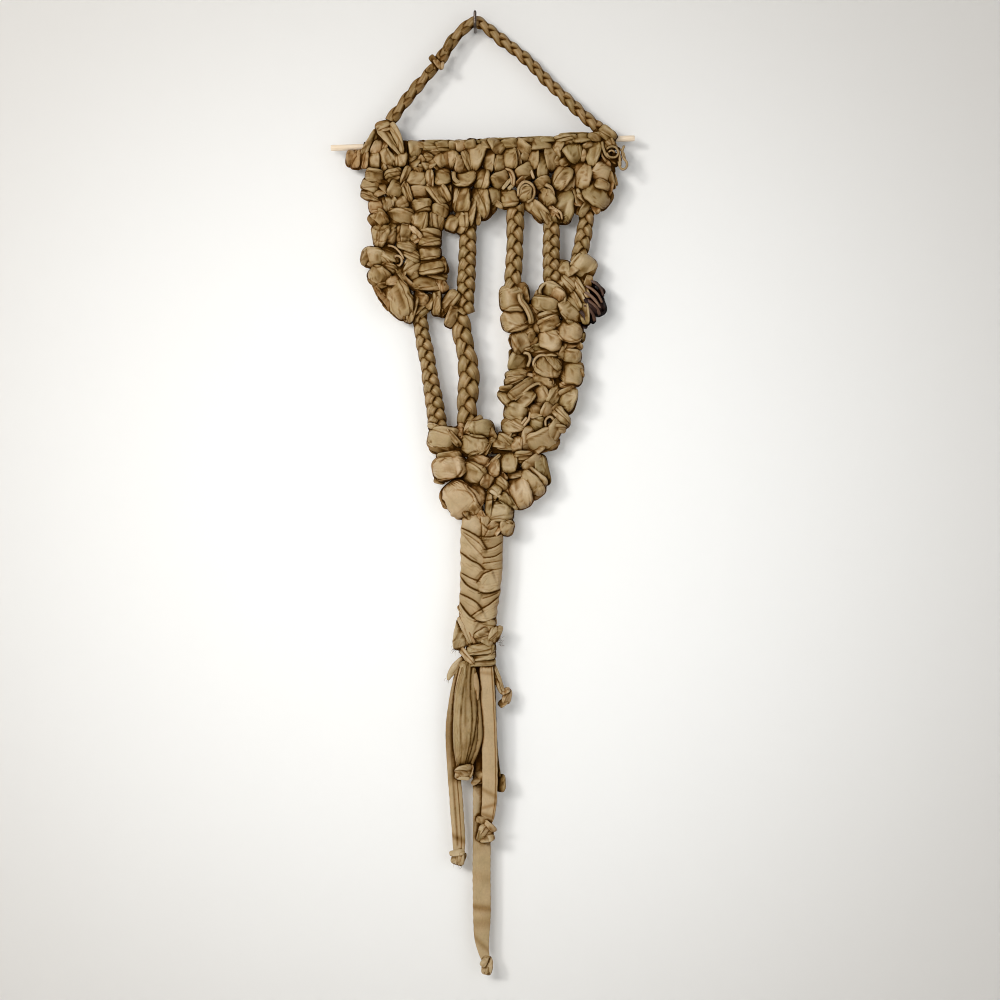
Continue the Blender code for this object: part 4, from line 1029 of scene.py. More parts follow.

# The bulge at the right: khaki cloth in deep shade, painted as a near-black finish and high dark marks, crossed
# by strips with less painted shade.
DARK_BULGE = (
    P(594.5, 300.5, 34, 20, -62, 9.4, dark=0.6), P(598, 288, 16, 6, -48, 9.4, dark=0.5),
    P(590, 318, 14, 7, -40, 8.6, dark=0.6), P(580, 325, 14, 5, -14, 8.5, dark=0.5),
    P(601, 306, 10, 5, -70, 8.4, dark=0.5),
)

DARK_STRIPS = (
    S([(585, 286, 10), (592, 290, 12.2), (598, 296, 12.6), (602, 303.5, 10.4)], 3.4, 3, tone=0.9,
      dark=0.02),
    S([(584, 292, 10.4), (590.5, 296.5, 12.8), (596, 302.5, 13), (600, 309.5, 10.6)], 3.8, 3, tone=0.7,
      dark=-0.06),
    S([(586, 299.5, 10.8), (591.5, 303.5, 12.8), (596.5, 309, 12.6), (599.5, 315.5, 10.4)], 4.4, 3.2,
      tone=0.8, dark=0.2),
    S([(588, 280.5, 9), (595, 283.5, 11), (601, 290, 11), (603, 297, 9.4)], 3.6, 3, tone=0.4, dark=0.15),
    S([(584, 305, 10.8), (588.5, 309.5, 12.8), (592.5, 315, 12.2), (594.5, 321.5, 9.6)], 4.4, 3.2, tone=0.8,
      dark=0.25),
    S([(580, 311, 10.6), (584, 316, 12), (587, 323, 10)], 4.4, 3, dark=0.3),
)

CLUSTER = (
    P(444, 440, 31, 26, -12, 11.8, corner=3.8, tone=0.45, rough=0.2), P(453, 438, 22, 6, -48, 11.2),
    P(459, 445, 18, 6, 88, 4, dark=0.85), P(437, 428, 18, 5, -20, 11.2),
    P(479.5, 430, 28, 18, 12, 11.8, corner=2.8, tone=0.3, rough=0.3),
    P(470, 428, 14, 9, 60, 12, lips=ONE, tone=0.7), P(491, 434, 14, 8, -60, 8.6, dark=0.3),
    P(476, 421, 14, 5, 40, 10.4, tone=0.7),
    P(474.5, 445.5, 29, 20.5, -4, 13.2, corner=2.8, tone=0.4, rough=0.25),
    P(487, 447.5, 16, 5, 66, 12.2, lips=ONE), P(480, 453.5, 22, 5, 16, 12, lips=ONE),
    P(462, 433.5, 12, 4, 25, 9.6, dark=0.2), P(449.5, 456, 24, 8.5, 3, 9.6),
    P(459, 433, 14, 8, 70, 7.6, tone=1, dark=0.1), P(462, 428, 12, 7, 80, 7.8, tone=1),
    P(449.5, 467.5, 33, 23, 10, 12.6, corner=3, tone=0.8, rough=0.12),
    P(439.5, 480.5, 10, 6, -20, 8, dark=0.1),
    P(478.5, 461.5, 21, 13, -12, 11.6, corner=3, tone=0.95, rough=0.1),
    P(485.5, 466, 15, 3.5, 42, 10.6, tone=0.9), P(488, 471, 13, 4, -40, 8.6, tone=0.8),
    P(472.5, 473, 26.5, 20, -27, 12.4, corner=2.9, tone=0.55, rough=0.12),
    P(487, 480.5, 15, 10, 62, 10.6, tone=0.85),
    P(460.5, 498.5, 37, 31.5, -52, 14.2, corner=2.9, tone=0.85, rough=0.1),
    P(468, 487, 7, 6, -50, 10, dark=0.85), P(474, 508, 15, 12, -50, 10, tone=0.7),
    P(478, 493.5, 21, 13, -62, 11.6, corner=2.6, tone=0.9, rough=0.1), P(487, 507, 20, 5, 86, 4.5, dark=0.8),
    P(486, 487, 10, 5, -40, 6, dark=0.7), P(481, 502, 13, 5, 62, 9.6, tone=0.9, dark=0.1),
    P(480, 514, 14, 7, -56, 8, tone=0.9), P(468.5, 515, 12, 5, -40, 9),
    P(493.5, 467, 18, 11.5, 82, 10.8, corner=3, tone=0.8), P(495, 459, 14, 4, 42, 10.2, lips=ONE),
    P(508, 462.5, 20, 17, 84, 12.4, corner=3.8, tone=0.45, rough=0.1),
    P(523.5, 457.5, 18, 12, -6, 12.4, corner=2.8, lips=((0.2, 0.9), (-0.4, 0.8)), tone=0.55, drift=0.4),
    P(533, 463.5, 22, 13, 33, 11.6, corner=3, tone=0.6, rough=0.15),
    P(541.5, 470, 30, 12, -78, 10, corner=3, tone=0.05, rough=0.2),
    P(534, 476.5, 29, 12, -38, 11.4, corner=3, rough=0.15),
    P(531, 484, 30, 17, -52, 12, corner=3.1, tone=0.6, rough=0.12),
    P(519, 492.5, 32, 24, -66, 13.4, corner=3.1, tone=0.85, rough=0.1), P(515, 474.5, 15, 6, 12, 10.8),
    P(517.5, 467, 6, 6, 0, 6, dark=0.75), P(508, 476, 8, 5, 60, 6, dark=0.75),
    P(501.5, 484, 15, 10, -46, 11, lips=ONE, tone=0.6), P(503, 476, 10, 5, -50, 9.8, tone=0.8),
    P(494, 492.5, 17, 11, 52, 11.2, tone=0.4), P(497, 494.5, 17, 4, -30, 11.6, tone=0.6),
    P(507, 501, 18, 9.5, -44, 11.4, tone=0.2), P(512.5, 504, 15, 4, -52, 10.8, dark=0.1),
    P(500, 511, 25.5, 20.5, -3, 13, corner=4, tone=0.35, rough=0.2), P(488.5, 507, 26, 5.5, 85, 10.2),
    P(509, 514, 12, 5, 80, 10, dark=0.1), P(506.5, 527.5, 15, 13, 78, 11.4, corner=2.6, tone=0.6, rough=0.3),
    P(504.5, 521.5, 16, 5, -14, 11.6), P(497, 522, 14, 6, 8, 11), P(491.5, 528, 20, 8, 56, 11.4, tone=0.8),
    P(498.5, 529, 17, 5, 56, 11, tone=0.9), P(489, 531, 12, 4, 62, 8.6, dark=0.6),
    P(486.5, 521, 10, 5, 30, 9, tone=1), P(483, 529, 18, 5, 88, 4.5, dark=0.85), P(495, 534, 12, 5, 12, 10),
)

THICK_PLAIT = (
    P(486, 625, 18, 9.5, 4, 11.8, corner=3.2, lips=ONE, tone=0.4), P(481, 622, 10, 6, 40, 10.4),
    P(483, 634.5, 16, 10.5, 36, 12, corner=3, lips=LOW, tone=0.6), P(487, 641, 12, 6, -28, 11.6, tone=0.4),
    P(493.5, 636, 20, 10, 68, 10.6, lips=ONE, tone=0.45, rough=0.8),
    P(498, 634, 16, 5, 70, 8.6, tone=0.3, rough=1), P(474, 629, 12, 5, -50, 9, dark=0.5),
    P(472, 620, 12, 5, -44, 10.4, dark=0.2), P(465, 614, 20, 6, -56, 9.6, tone=0.8),
    P(461.5, 634, 32, 14, 78, 8.4, taper=-0.1, corner=3.4, rough=0.6, puff=1.6),
    P(466, 632, 32, 4.5, -63, 10.4, tone=0.7), P(470, 633, 28, 3.6, -64, 9.8, tone=1, dark=0.25),
    P(474, 637, 20, 5, -66, 8.4, tone=1, dark=0.45), P(469, 626, 16, 4, -62, 6, dark=0.75),
)

BAND_EDGES = edges(
    (1.6, 458, 527, 470, 532.5, 480, 539, 486, 548.5), (0.5, 461, 533, 472, 545, 483, 557),
    (0.6, 464, 533, 476, 541, 486, 551), (1.8, 458, 551, 470, 560, 478, 564, 483, 569),
    (0.9, 459, 572, 470, 578, 479, 581.5), (1.7, 459, 575, 466, 584.5, 475, 590, 481, 592),
    (1.6, 458, 593, 470, 598.5, 477, 603, 482, 610), (1.7, 457, 598, 463, 608, 470, 616, 478, 621),
    (0.5, 470, 556, 476, 560), (1.6, 481, 537, 492, 537, 504, 533), (1, 484, 550, 494, 547.5, 504, 541.5),
    (1, 485, 558, 495, 556.5, 504, 551), (0.7, 484, 563.5, 494, 562, 504, 560.5),
    (0.7, 483, 569.5, 492, 570, 503, 568.5), (1.8, 478, 581.5, 484, 574, 491, 571),
    (-2, 480, 592, 490, 592, 501, 588.5), (1.8, 481, 609.5, 490, 604, 499, 597),
    (0.5, 484, 598, 491, 596, 498, 593), (1.2, 473, 615, 478, 611, 481, 609.5),
    (-1.8, 476, 620, 486, 621, 498, 616), (-1.4, 480, 516, 482, 527, 482, 538),
    (0.9, 482, 524, 490, 530, 500, 523), (0.8, 484, 538, 489, 529, 497, 524),
)

PLAIT_TUBE = (
    S([(481.5, 512, 4.6, 40), (481.5, 530, 4.8, 42.5), (481.5, 560, 4.8, 42.5), (480.5, 585, 4.8, 41),
      (478.5, 605, 4.6, 39), (478, 625, 4.4, 37), (480, 646, 4.4, 32)], 42, 14, tone=0.6, rough=0.18,
      gather=0, seams=BAND_EDGES),
)

WRAP = (
    P(481, 648.5, 27, 10, 9, 12.8, corner=3.2, lips=LOW, tone=0.4),
    P(482, 655.5, 25, 8, 6, 13, corner=3.2, lips=ONE, tone=0.35),
    P(482.5, 661.5, 25, 7.5, 3, 12.6, corner=3.2, tone=0.3),
    P(467, 656, 19, 6.5, -52, 12.4, lips=ONE, tone=0.8), P(463.5, 654, 10, 4, -40, 9, dark=0.2),
    P(471.5, 650, 12, 3.5, -72, 11, dark=0.5), P(469, 663, 18, 6, 12, 11.6, tone=0.4),
    P(489, 650, 14, 8, 70, 10.6, tone=0.1, dark=0.1),
)

HANGER_FOLD = (
    P(434, 60.5, 11, 5, -52, 7.2, dark=0.5), P(438, 64, 11, 4.4, -50, 8, tone=0.8),
    P(442.5, 65.5, 8, 3.4, 80, 7.6, tone=0.9), P(431, 68, 10, 4.5, 45, 7, dark=0.15),
    P(449, 45, 12, 4.5, 62, 6.6, dark=0.2),
)

PLAITS = (
    # name, length of a turn, and its route: across, down, front, width
    ("plait_inner_left", 37, (468, 214, 5, 19.5), (467.5, 250, 5, 19.5), (466, 285, 5, 19.5),
     (464.5, 313, 5, 21)),
    ("plait_inner_middle", 44, (515.5, 205, 5, 18.5), (515, 240, 5, 18.5), (514, 265, 5, 18.5),
     (512, 291, 5, 18)),
    ("plait_inner_right", 36, (552, 213, 5, 18), (551.5, 240, 5, 18), (551.5, 265, 5, 19),
     (553, 289, 5, 19)),
    ("plait_outer_right", 38, (588, 208, 5, 16), (585.5, 225, 5, 16), (582.5, 242, 5, 17),
     (578, 264, 5, 18)),
    ("plait_lower_left", 35, (418.5, 310, 5, 17), (422.5, 336, 5, 16.5), (427, 358, 5, 17),
     (430.5, 380, 5, 18), (434.5, 404, 5, 20), (438.5, 432, 5, 21)),
    ("plait_lower_right", 52, (458.5, 312, 5, 21), (463.5, 340, 5, 21), (467.5, 360, 5, 21.5),
     (469, 382, 5, 23), (467, 402, 5, 22), (467.5, 428, 5, 21)),
)

HANGER_LEFT = (
    (390, 121, 3, 13), (413, 91.5, 3, 13), (428, 74, 2, 12.5), (441, 58, 1, 13), (454, 38, 0, 12.5),
    (470, 22.5, 0, 12.5), (478, 20.2, 0, 13),
)

HANGER_RIGHT = (
    (472, 20.2, 0, 13), (481, 21.5, 0, 12.5), (502, 38, 0, 12.5), (526, 57, 1, 12.5), (548, 80, 2, 12.5),
    (567, 98, 3, 13), (584, 114.5, 4, 13), (601, 129, 5, 13),
)

SMOOTH = {"rough": 0.16, "gather": 0.14}
FOLDED_EDGES = edges(
    (0.7, 468, 664, 463, 690, 460, 720, 461, 745, 460, 765),
    (1, 471, 664, 470, 690, 472, 715, 470, 740, 465, 762),
    (0.5, 466, 664, 466, 690, 465, 715, 466, 740, 463, 764), (1, 477, 690, 477, 710, 474, 735, 467, 762),
)

TAIL_FOLDED = (
    S([(470, 660, 8, 10), (466, 690, 11, 20), (465.5, 720, 12, 24), (465, 745, 11, 22), (462, 768, 9, 10)],
      20, 9, pleats=3, tone=0.3, bands=((0.3, 9, 0.15, 0.8), (0.78, 5, 0.2, -0.6), (0.95, 5, 0.4, 0)),
      seams=FOLDED_EDGES, **SMOOTH),
    S([(464, 662, 9, 6), (459, 690, 10.5, 8), (457, 720, 11, 8), (457.5, 745, 11, 8), (460, 768, 10, 6)], 8,
      4.4, tone=0.6, dark=0.06, bands=((0.55, 10, 0.25, 0.3), (0.95, 4, 0.4, 0)), **SMOOTH),
    S([(473, 664, 8, 5), (475, 690, 9.4, 8), (478, 720, 10, 8), (478, 740, 9.4, 8), (471, 764, 9, 5)], 8,
      4.6, tone=0.4, dark=0.14, bands=((0.95, 4, 0.4, 0),), **SMOOTH),
    S([(469, 662, 10, 4), (465, 680, 11.4, 6), (462, 700, 12.4, 7), (462.5, 735, 13, 7), (464, 765, 11, 5)],
      6, 4, tone=0.2, bands=((0.9, 5, 0.3, 0),), **SMOOTH),
    S([(475, 672, 11, 4), (476, 685, 12, 7), (477, 700, 12, 4)], 6, 3, tone=0.8, dark=0.1, **SMOOTH),
)

TAIL_KNOTS = (
    P(458, 858.5, 14, 12, 80, 6, lips=ONE), P(457, 853, 14, 5, 10, 7, tone=0.6),
    P(462, 860, 12, 5, 70, 5, dark=0.1), P(464, 771, 17, 13, 12, 13, lips=((0.3, 0.8),), tone=0.6),
    P(459, 772, 12, 6, 75, 12, tone=0.8), P(470, 771, 13, 5, 80, 11, tone=0.7), P(463, 777.5, 14, 4, -4, 12),
    P(486, 831, 18, 15, 84, 11, lips=TWO, tone=0.7), P(490, 826, 14, 6, -40, 11.6, tone=0.8),
    P(481, 834, 13, 6, 75, 10, tone=0.3), P(487, 838, 14, 6, 10, 10.4),
    P(484, 820, 14, 5, -12, 10, dark=0.15), P(487, 967, 17, 10, 84, 5, lips=ONE, tone=0.6),
    P(484.5, 962, 10, 5, 60, 5.6), P(489, 971, 9, 5, 70, 5, dark=0.1),
    P(507, 697, 14, 8, 78, 4.5, lips=ONE, tone=0.8), P(503, 703, 9, 6, 40, 4),
    P(505.5, 691, 8, 5, 20, 5, tone=0.9), P(479, 777, 14, 8, 84, 4, tone=0.7),
    P(476, 781, 10, 5, 40, 5, tone=0.6, dark=0.1), P(501, 784, 16, 8, 82, 4, tone=0.2, dark=0.2),
)

TAIL_SCRAPS = (
    S([(463, 659, 6, 8), (455, 668, 6, 9), (450, 675, 6, 6), (448, 680, 6, 3)], 8, 3, rough=0.6),
    S([(490, 661, 5, 7), (496, 675, 5, 8), (501, 689, 4.5, 7), (504, 694, 4, 5)], 8, 3.4,
      lips=((0.1, 0.8),), tone=0.6, rough=0.5),
    S([(478, 660, 1, 8), (479, 700, 1, 8), (479.5, 745, 1, 8), (479, 772, 2, 7)], 8, 2.4, tone=0.8,
      dark=0.35),
    S([(491, 662, 1, 7), (492.5, 700, 1, 7), (494, 745, 1, 7), (498, 778, 2, 6)], 7, 2.4, tone=0.2,
      dark=0.3),
)

FRAYS = (
    # across, down, front, spread across, spread down, threads, way across, way up
    (456, 648, 8, 5, 3, 34, -0.6, -1),  # torn end left of the thick plait
    (499, 640, 8, 3, 6, 34, 1, -0.3),  # torn end right of it
    (458, 864, 4, 4, 1, 8, -0.2, -1),  # end of the left tail
    (448, 679, 6, 1.5, 2, 8, -0.6, -1),  # loose scrap
    (612, 150, 11, 6, 5, 16, 0.4, 0.2),  # right end knot
)


# ---------------------------------------------------------------- plaits, wraps and frayed threads


def geometry_tree(name, **inputs):
    inputs = {label.replace("_", " "): value for label, value in inputs.items()}
    inputs = {"Geometry": "Geometry", **inputs, "Material": "Material"}
    return new_tree("GeometryNodeTree", name, inputs, {"Geometry": "Geometry"})


def store(geometry, name, value, kind="FLOAT", domain="POINT"):
    inputs = {"Geometry": geometry, "Name": name, "Value": value}
    return node(geometry.tree, "GeometryNodeStoreNamedAttribute", data_type=kind, domain=domain, **inputs)[0]


def named(tree, name, kind="FLOAT"):
    return node(tree, "GeometryNodeInputNamedAttribute", data_type=kind, Name=name)["Attribute"]


def wandering(tree, scale, seed):
    """A smooth noise that differs with its seed."""
    return node(tree, "ShaderNodeTexNoise", noise_dimensions="4D", W=seed, Scale=scale, Detail=1.0)["Fac"]


def finish_tree(tree, given, out, mesh):
    whole = node(tree, "GeometryNodeRealizeInstances", mesh)[0]
    shaded = node(tree, "GeometryNodeSetShadeSmooth", whole)[0]
    put(out, Geometry=node(tree, "GeometryNodeSetMaterial", Geometry=shaded, Material=given["Material"])[0])
    return tree


def short_line(tree, count):
    """A curve of so many points, and how far along it each lies, from 0 to 1."""
    line = node(tree, "GeometryNodeCurvePrimitiveLine")[0]
    fine = node(tree, "GeometryNodeResampleCurve", mode="COUNT", Curve=line, Count=count)[0]
    return fine, node(tree, "GeometryNodeSplineParameter")["Factor"]


def facing_curve(tree, curve, way):
    way = way.vector("NORMALIZE")
    return node(tree, "GeometryNodeSetCurveNormal", mode="FREE", Curve=curve, Normal=way)[0]


def swept(tree, curve, section, scale):
    inputs = {"Curve": curve, "Profile_Curve": section, "Scale": scale, "Fill_Caps": True}
    return node(tree, "GeometryNodeCurveToMesh", **inputs)[0]


def chance(tree, low, high, seed):
    """A random vector or number at each point."""
    vector = isinstance(low, tuple)
    values = (low, high) if vector else (None, None, low, high)
    settings = {"data_type": "FLOAT_VECTOR"} if vector else {}
    return node(tree, "FunctionNodeRandomValue", *values, Seed=seed, **settings)[0 if vector else 1]


def placed(tree, points, mesh, rotation, scale):
    inputs = {"Points": points, "Instance": mesh, "Rotation": rotation, "Scale": scale}
    copies = node(tree, "GeometryNodeInstanceOnPoints", **inputs)[0]
    return node(tree, "GeometryNodeRealizeInstances", copies)[0]


def strip_section(tree, flatness, pleats):
    """The unit section of a folded strip, with painted shade marked at its rim and in its grooves."""
    circle = node(tree, "GeometryNodeCurvePrimitiveCircle", Resolution=20, Radius=1.0)[0]
    turn = node(tree, "GeometryNodeSplineParameter")["Factor"] * (2 * math.pi)
    over = turn.maths("COSINE")
    swell = (turn * pleats).maths("COSINE") * 0.07 + 1.0
    spot = joined(tree, turn.maths("SINE") * swell * flatness, over * swell)
    moved = node(tree, "GeometryNodeSetPosition", Geometry=circle, Position=spot)[0]
    rim = over.maths("ABSOLUTE").maths("POWER", 5.0)
    groove_shade = (swell * -1.0 + 1.07) * 2.2
    return store(store(moved, "rim", rim.maths("MAXIMUM", groove_shade)), "over", over)


def plait_tree():
    """Three flat strips plaited along a route, whose points hold the plait's half width."""
    tree, given, out = geometry_tree(
        "three strip plait",
        Pitch=0.029,
        Sway=0.5,
        Weave=0.32,
        Strip_Width=0.52,
        Unevenness=0.16,
        Start=0.0,
        Facing=0.0,
        Shade=0.04,
        Seed=1.0,
        Step=0.0009,
    )
    line = node(tree, "GeometryNodeMeshToCurve", given["Geometry"])[0]
    fine = node(tree, "GeometryNodeResampleCurve", mode="LENGTH", Curve=line, Length=given["Step"])[0]
    three = node(tree, "GeometryNodeDuplicateElements", domain="SPLINE", Geometry=fine, Amount=3)
    kept = store(three["Geometry"], "which", three["Duplicate Index"], "INT", "CURVE")
    which = named(tree, "which", "INT")
    length = node(tree, "GeometryNodeSplineParameter")["Length"]
    turn = length / given["Pitch"] * (2 * math.pi) + given["Start"] + which * (2 * math.pi / 3)
    noisy = wandering(tree, 55.0, given["Seed"])
    half = named(tree, "half") * ((noisy - 0.5) * (given["Unevenness"] * 2.0) + 1.0)

    along = node(tree, "GeometryNodeInputTangent")[0]
    flat = along.vector("CROSS_PRODUCT", (0.0, -1.0, 0.0)).vector("NORMALIZE")
    facing = given["Facing"]
    front = flat.vector("CROSS_PRODUCT", along).scaled(facing.maths("COSINE"))
    front = front.vector("ADD", flat.scaled(facing.maths("SINE")))
    side = along.vector("CROSS_PRODUCT", front).vector("NORMALIZE")
    lean, dive = turn.maths("SINE"), (turn * 2.0).maths("SINE")
    shift = side.scaled(lean * half * given["Sway"]).vector("ADD", front.scaled(dive * half * given["Weave"]))
    for name, value in (("half way", half), ("dive", dive), ("lean", lean), ("run", length)):
        kept = store(kept, name, value)
    for name, value in (("across way", side), ("front way", front)):
        kept = store(kept, name, value, "FLOAT_VECTOR")
    moved = node(tree, "GeometryNodeSetPosition", Geometry=kept, Offset=shift)[0]
    leaning = named(tree, "across way", "FLOAT_VECTOR").scaled(named(tree, "lean") * 0.55)
    outward = named(tree, "front way", "FLOAT_VECTOR").vector("ADD", leaning)
    width = named(tree, "half way") * given["Strip Width"]
    mesh = swept(tree, facing_curve(tree, moved, outward), strip_section(tree, 0.55, 5), width)

    run, over = named(tree, "run"), named(tree, "over")
    # painted shade at the strips' edges and where each dives under the others
    mesh = store(mesh, "fold", named(tree, "rim").maths("MAXIMUM", named(tree, "dive") * -0.3 + 0.1))
    mesh = store(mesh, "tone", which * 0.12 + 0.35)
    mesh = store(mesh, "dark", given["Shade"])
    mesh = store(mesh, "strip", joined(tree, run * 1000.0, over * 5.0, 0.8), "FLOAT_VECTOR")
    mesh = store(mesh, "fan", joined(tree, run * 110.0, over, which * 1.7 + given["Seed"]), "FLOAT_VECTOR")
    return finish_tree(tree, given, out, node(tree, "GeometryNodeFlipFaces", mesh)[0])


def wrap_tree():
    """Straps over the dowel, side by side: each comes up behind, goes over and hangs down in front."""
    tree, given, out = geometry_tree(
        "straps over the dowel", Straps=24, Strap_Width=0.0115, Bend_Radius=0.0042, Reach=0.024, Seed=5
    )
    line = node(tree, "GeometryNodeMeshToCurve", given["Geometry"])[0]
    spots = node(tree, "GeometryNodeResampleCurve", mode="COUNT", Curve=line, Count=given["Straps"])[0]
    fine, t = short_line(tree, 34)
    radius = given["Bend Radius"]
    turned = (t * 2.0 + -1.0) * given["Reach"] / radius
    angle = turned.maths("MAXIMUM", -math.pi / 2).maths("MINIMUM", math.pi / 2)
    down = (turned.maths("ABSOLUTE") - math.pi / 2).maths("MAXIMUM", 0.0)
    forward, up = angle.maths("SINE") + down * 0.3, angle.maths("COSINE") - down
    spot = joined(tree, None, radius * forward, radius * up)
    bent = node(tree, "GeometryNodeSetPosition", Geometry=fine, Position=spot)[0]
    outward = node(tree, "GeometryNodeInputTangent")[0].vector("CROSS_PRODUCT", (1.0, 0.0, 0.0))
    section = strip_section(tree, 0.19, 6)
    strap = swept(tree, facing_curve(tree, bent, outward), section, given["Strap Width"] * 0.5)
    tilt = chance(tree, (-0.1, -0.2, -0.09), (0.1, 0.22, 0.09), given["Seed"])
    size = chance(tree, (0.8, 0.94, 0.86), (1.25, 1.08, 1.12), given["Seed"] + 7.0)
    mesh = placed(tree, spots, strap, tilt, size)
    noisy = wandering(tree, 40.0, given["Seed"])
    # painted shade at the straps' edges and grooves, and a little all over
    for name, value in (("fold", named(tree, "rim")), ("tone", noisy), ("dark", 0.15)):
        mesh = store(mesh, name, value)
    mesh = store(mesh, "strip", (0.0, 0.0, 0.7), "FLOAT_VECTOR")
    mesh = store(mesh, "fan", node(tree, "GeometryNodeInputPosition")[0].scaled(160.0), "FLOAT_VECTOR")
    return finish_tree(tree, given, out, mesh)


def fray_tree():
    """Short loose threads, one at each point, bent and turned at random."""
    tree, given, out = geometry_tree(
        "frayed threads", Thread_Length=0.0042, Thread_Width=0.00017, Curl=0.0007, Seed=3
    )
    fine, t = short_line(tree, 7)
    curl = given["Curl"]
    spot = joined(tree, (t * 4.2).maths("SINE") * curl, t * t * curl, t * given["Thread Length"])
    bent = node(tree, "GeometryNodeSetPosition", Geometry=fine, Position=spot)[0]
    section = node(tree, "GeometryNodeCurvePrimitiveCircle", Resolution=3, Radius=given["Thread Width"])[0]
    thread = swept(tree, bent, section, t * -0.6 + 1.0)
    jitter = chance(tree, (-0.55, -0.55, -0.55), (0.55, 0.55, 0.55), given["Seed"])
    way = named(tree, "way", "FLOAT_VECTOR").vector("ADD", jitter)
    turned = node(tree, "FunctionNodeAlignEulerToVector", axis="Z", Vector=way)[0]
    points = node(tree, "GeometryNodeMeshToPoints", given["Geometry"])[0]
    mesh = placed(tree, points, thread, turned, chance(tree, 0.35, 1.2, given["Seed"] + 9.0))
    # a little painted shade on the threads
    for name, value in (("fold", 0.05), ("tone", 0.5), ("dark", 0.12)):
        mesh = store(mesh, name, value)
    return finish_tree(tree, given, out, mesh)


def line_object(name, points, joined_up=True, **marks):
    """A line of points to grow something on, with its marks at each."""
    mesh = bpy.data.meshes.new(name + "_line")
    links = [(i, i + 1) for i in range(len(points) - 1)] if joined_up else []
    mesh.from_pydata([tuple(p) for p in points], links, [])
    mark_points(mesh, marks)
    made = bpy.data.objects.new(name + "_line", mesh)
    bpy.context.scene.collection.objects.link(made)
    return made


def grown(name, tree, source, node_name, **values):
    """Runs a tree on a source object and keeps its mesh as a piece of cloth."""
    modifier = source.modifiers.new("tree", "NODES")
    modifier.node_group = tree
    sockets = {item.name: item.identifier for item in tree.interface.items_tree if item.in_out == "INPUT"}
    modifier[sockets["Material"]] = KHAKI
    for label, value in values.items():
        modifier[sockets[label.replace("_", " ")]] = value
    graph = bpy.context.evaluated_depsgraph_get()
    graph.update()
    made = source.evaluated_get(graph)
    mesh = bpy.data.meshes.new_from_object(made, preserve_all_data_layers=True, depsgraph=graph)
    mesh.name = name
    bpy.data.objects.remove(source)
    return place(bpy.data.objects.new(name, mesh), "khaki_cloth", node_name)


def to_frame(across, down, front):
    """A place in the photograph's millimetres, as metres in the frame."""
    return ((across - HOOK_ACROSS) * MM, -(MIDDLE + front) * MM, (HOOK_DOWN - down) * MM)


PLAIT = plait_tree()


def plait(name, node_name, pitch, route, **values):
    """A plait along rows of (across, down, front, width)."""
    line = spread_route(route, 1.5)
    source = line_object(name, [to_frame(*row[:3]) for row in line], half=line[:, 3] / 2 * MM)
    grown(name, PLAIT, source, node_name, Pitch=pitch * MM, **values)


# ---------------------------------------------------------------- the wooden dowel and the hook

DOWEL_LENGTH, DOWEL_RADIUS, DOWEL_TILT = 0.305, 0.003, math.radians(1.83)
DOWEL_CENTRE = np.array([0.0077, -0.016, -0.1151])
DOWEL_WAY = np.array([math.cos(DOWEL_TILT), 0, math.sin(DOWEL_TILT)])
DOWEL_RINGS = 60  # rings between its two rounded ends, each a little uneven
HOOK_BEND, HOOK_REACH, HOOK_TIP, HOOK_RADIUS = 0.005, 0.025, 0.016, 0.0015


def turned_rod(name, line, radii, sides, material, slot, node_name):
    """A round rod along a line of points, with a radius at each, its ends closed."""
    line, radii = np.array(line, float), np.array(radii, float)
    way = np.gradient(line, axis=0)
    way /= np.linalg.norm(way, axis=1)[:, None]
    side = np.cross(way, np.array([0, 1.0, 0]) if abs(way[0][1]) < 0.7 else np.array([1.0, 0, 0]))
    side /= np.linalg.norm(side, axis=1)[:, None]
    up = np.cross(side, way)
    turn = np.linspace(0, 2 * math.pi, sides, endpoint=False)[None, :, None]
    rings = line[:, None] + radii[:, None, None] * (side[:, None] * np.cos(turn) + up[:, None] * np.sin(turn))
    points = rings.reshape(-1, 3).tolist() + [line[0].tolist(), line[-1].tolist()]
    index = np.arange(len(line) * sides).reshape(-1, sides)
    after = np.roll(index, -1, axis=1)
    faces = np.stack([index[:-1], index[1:], after[1:], after[:-1]], -1).reshape(-1, 4).tolist()
    for a, b, c, d in zip(index[0], after[0], index[-1], after[-1]):
        faces += [(len(points) - 2, a, b), (len(points) - 1, d, c)]
    mesh = bpy.data.meshes.new(name)
    mesh.from_pydata(points, [], faces)
    mesh.update()
    if sum(mesh.vertices[f.vertices[0]].co.dot(f.normal) * f.area for f in mesh.polygons) < 0:
        mesh.flip_normals()
    mesh.polygons.foreach_set("use_smooth", [True] * len(mesh.polygons))
    mesh.materials.append(material)
    return place(bpy.data.objects.new(name, mesh), slot, node_name)


def make_dowel():
    rng = np.random.default_rng(4)
    reach = np.r_[-0.5, -0.4995, -0.498, np.linspace(-0.49, 0.49, DOWEL_RINGS), 0.498, 0.4995, 0.5]
    radii = np.r_[0.55, 0.82, 0.97, 1 + rng.uniform(-0.012, 0.012, DOWEL_RINGS), 0.97, 0.82, 0.55]
    line = DOWEL_CENTRE + np.outer(reach * DOWEL_LENGTH, DOWEL_WAY)
    turned_rod("wooden_dowel", line, radii * DOWEL_RADIUS * 0.99, 32, pale_wood(), "pale_wood", "dowel")


def make_hook():
    straight = HOOK_REACH - HOOK_BEND
    line = [(0, y, 0) for y in np.linspace(0, -straight, 12)]
    for turn in np.linspace(0, math.pi / 2, 12)[1:]:
        line.append((0, -straight - HOOK_BEND * math.sin(turn), HOOK_BEND * (1 - math.cos(turn))))
    line += [(0, -HOOK_REACH, z) for z in np.linspace(HOOK_BEND, HOOK_TIP, 12)[1:]]
    radii = np.full(len(line), HOOK_RADIUS)
    radii[-3:] = [0.00145, 0.0012, 0.0006]
    turned_rod("hook", line, radii, 20, dark_steel(), "dark_steel", "wall_hook")


# ---------------------------------------------------------------- the parts put together

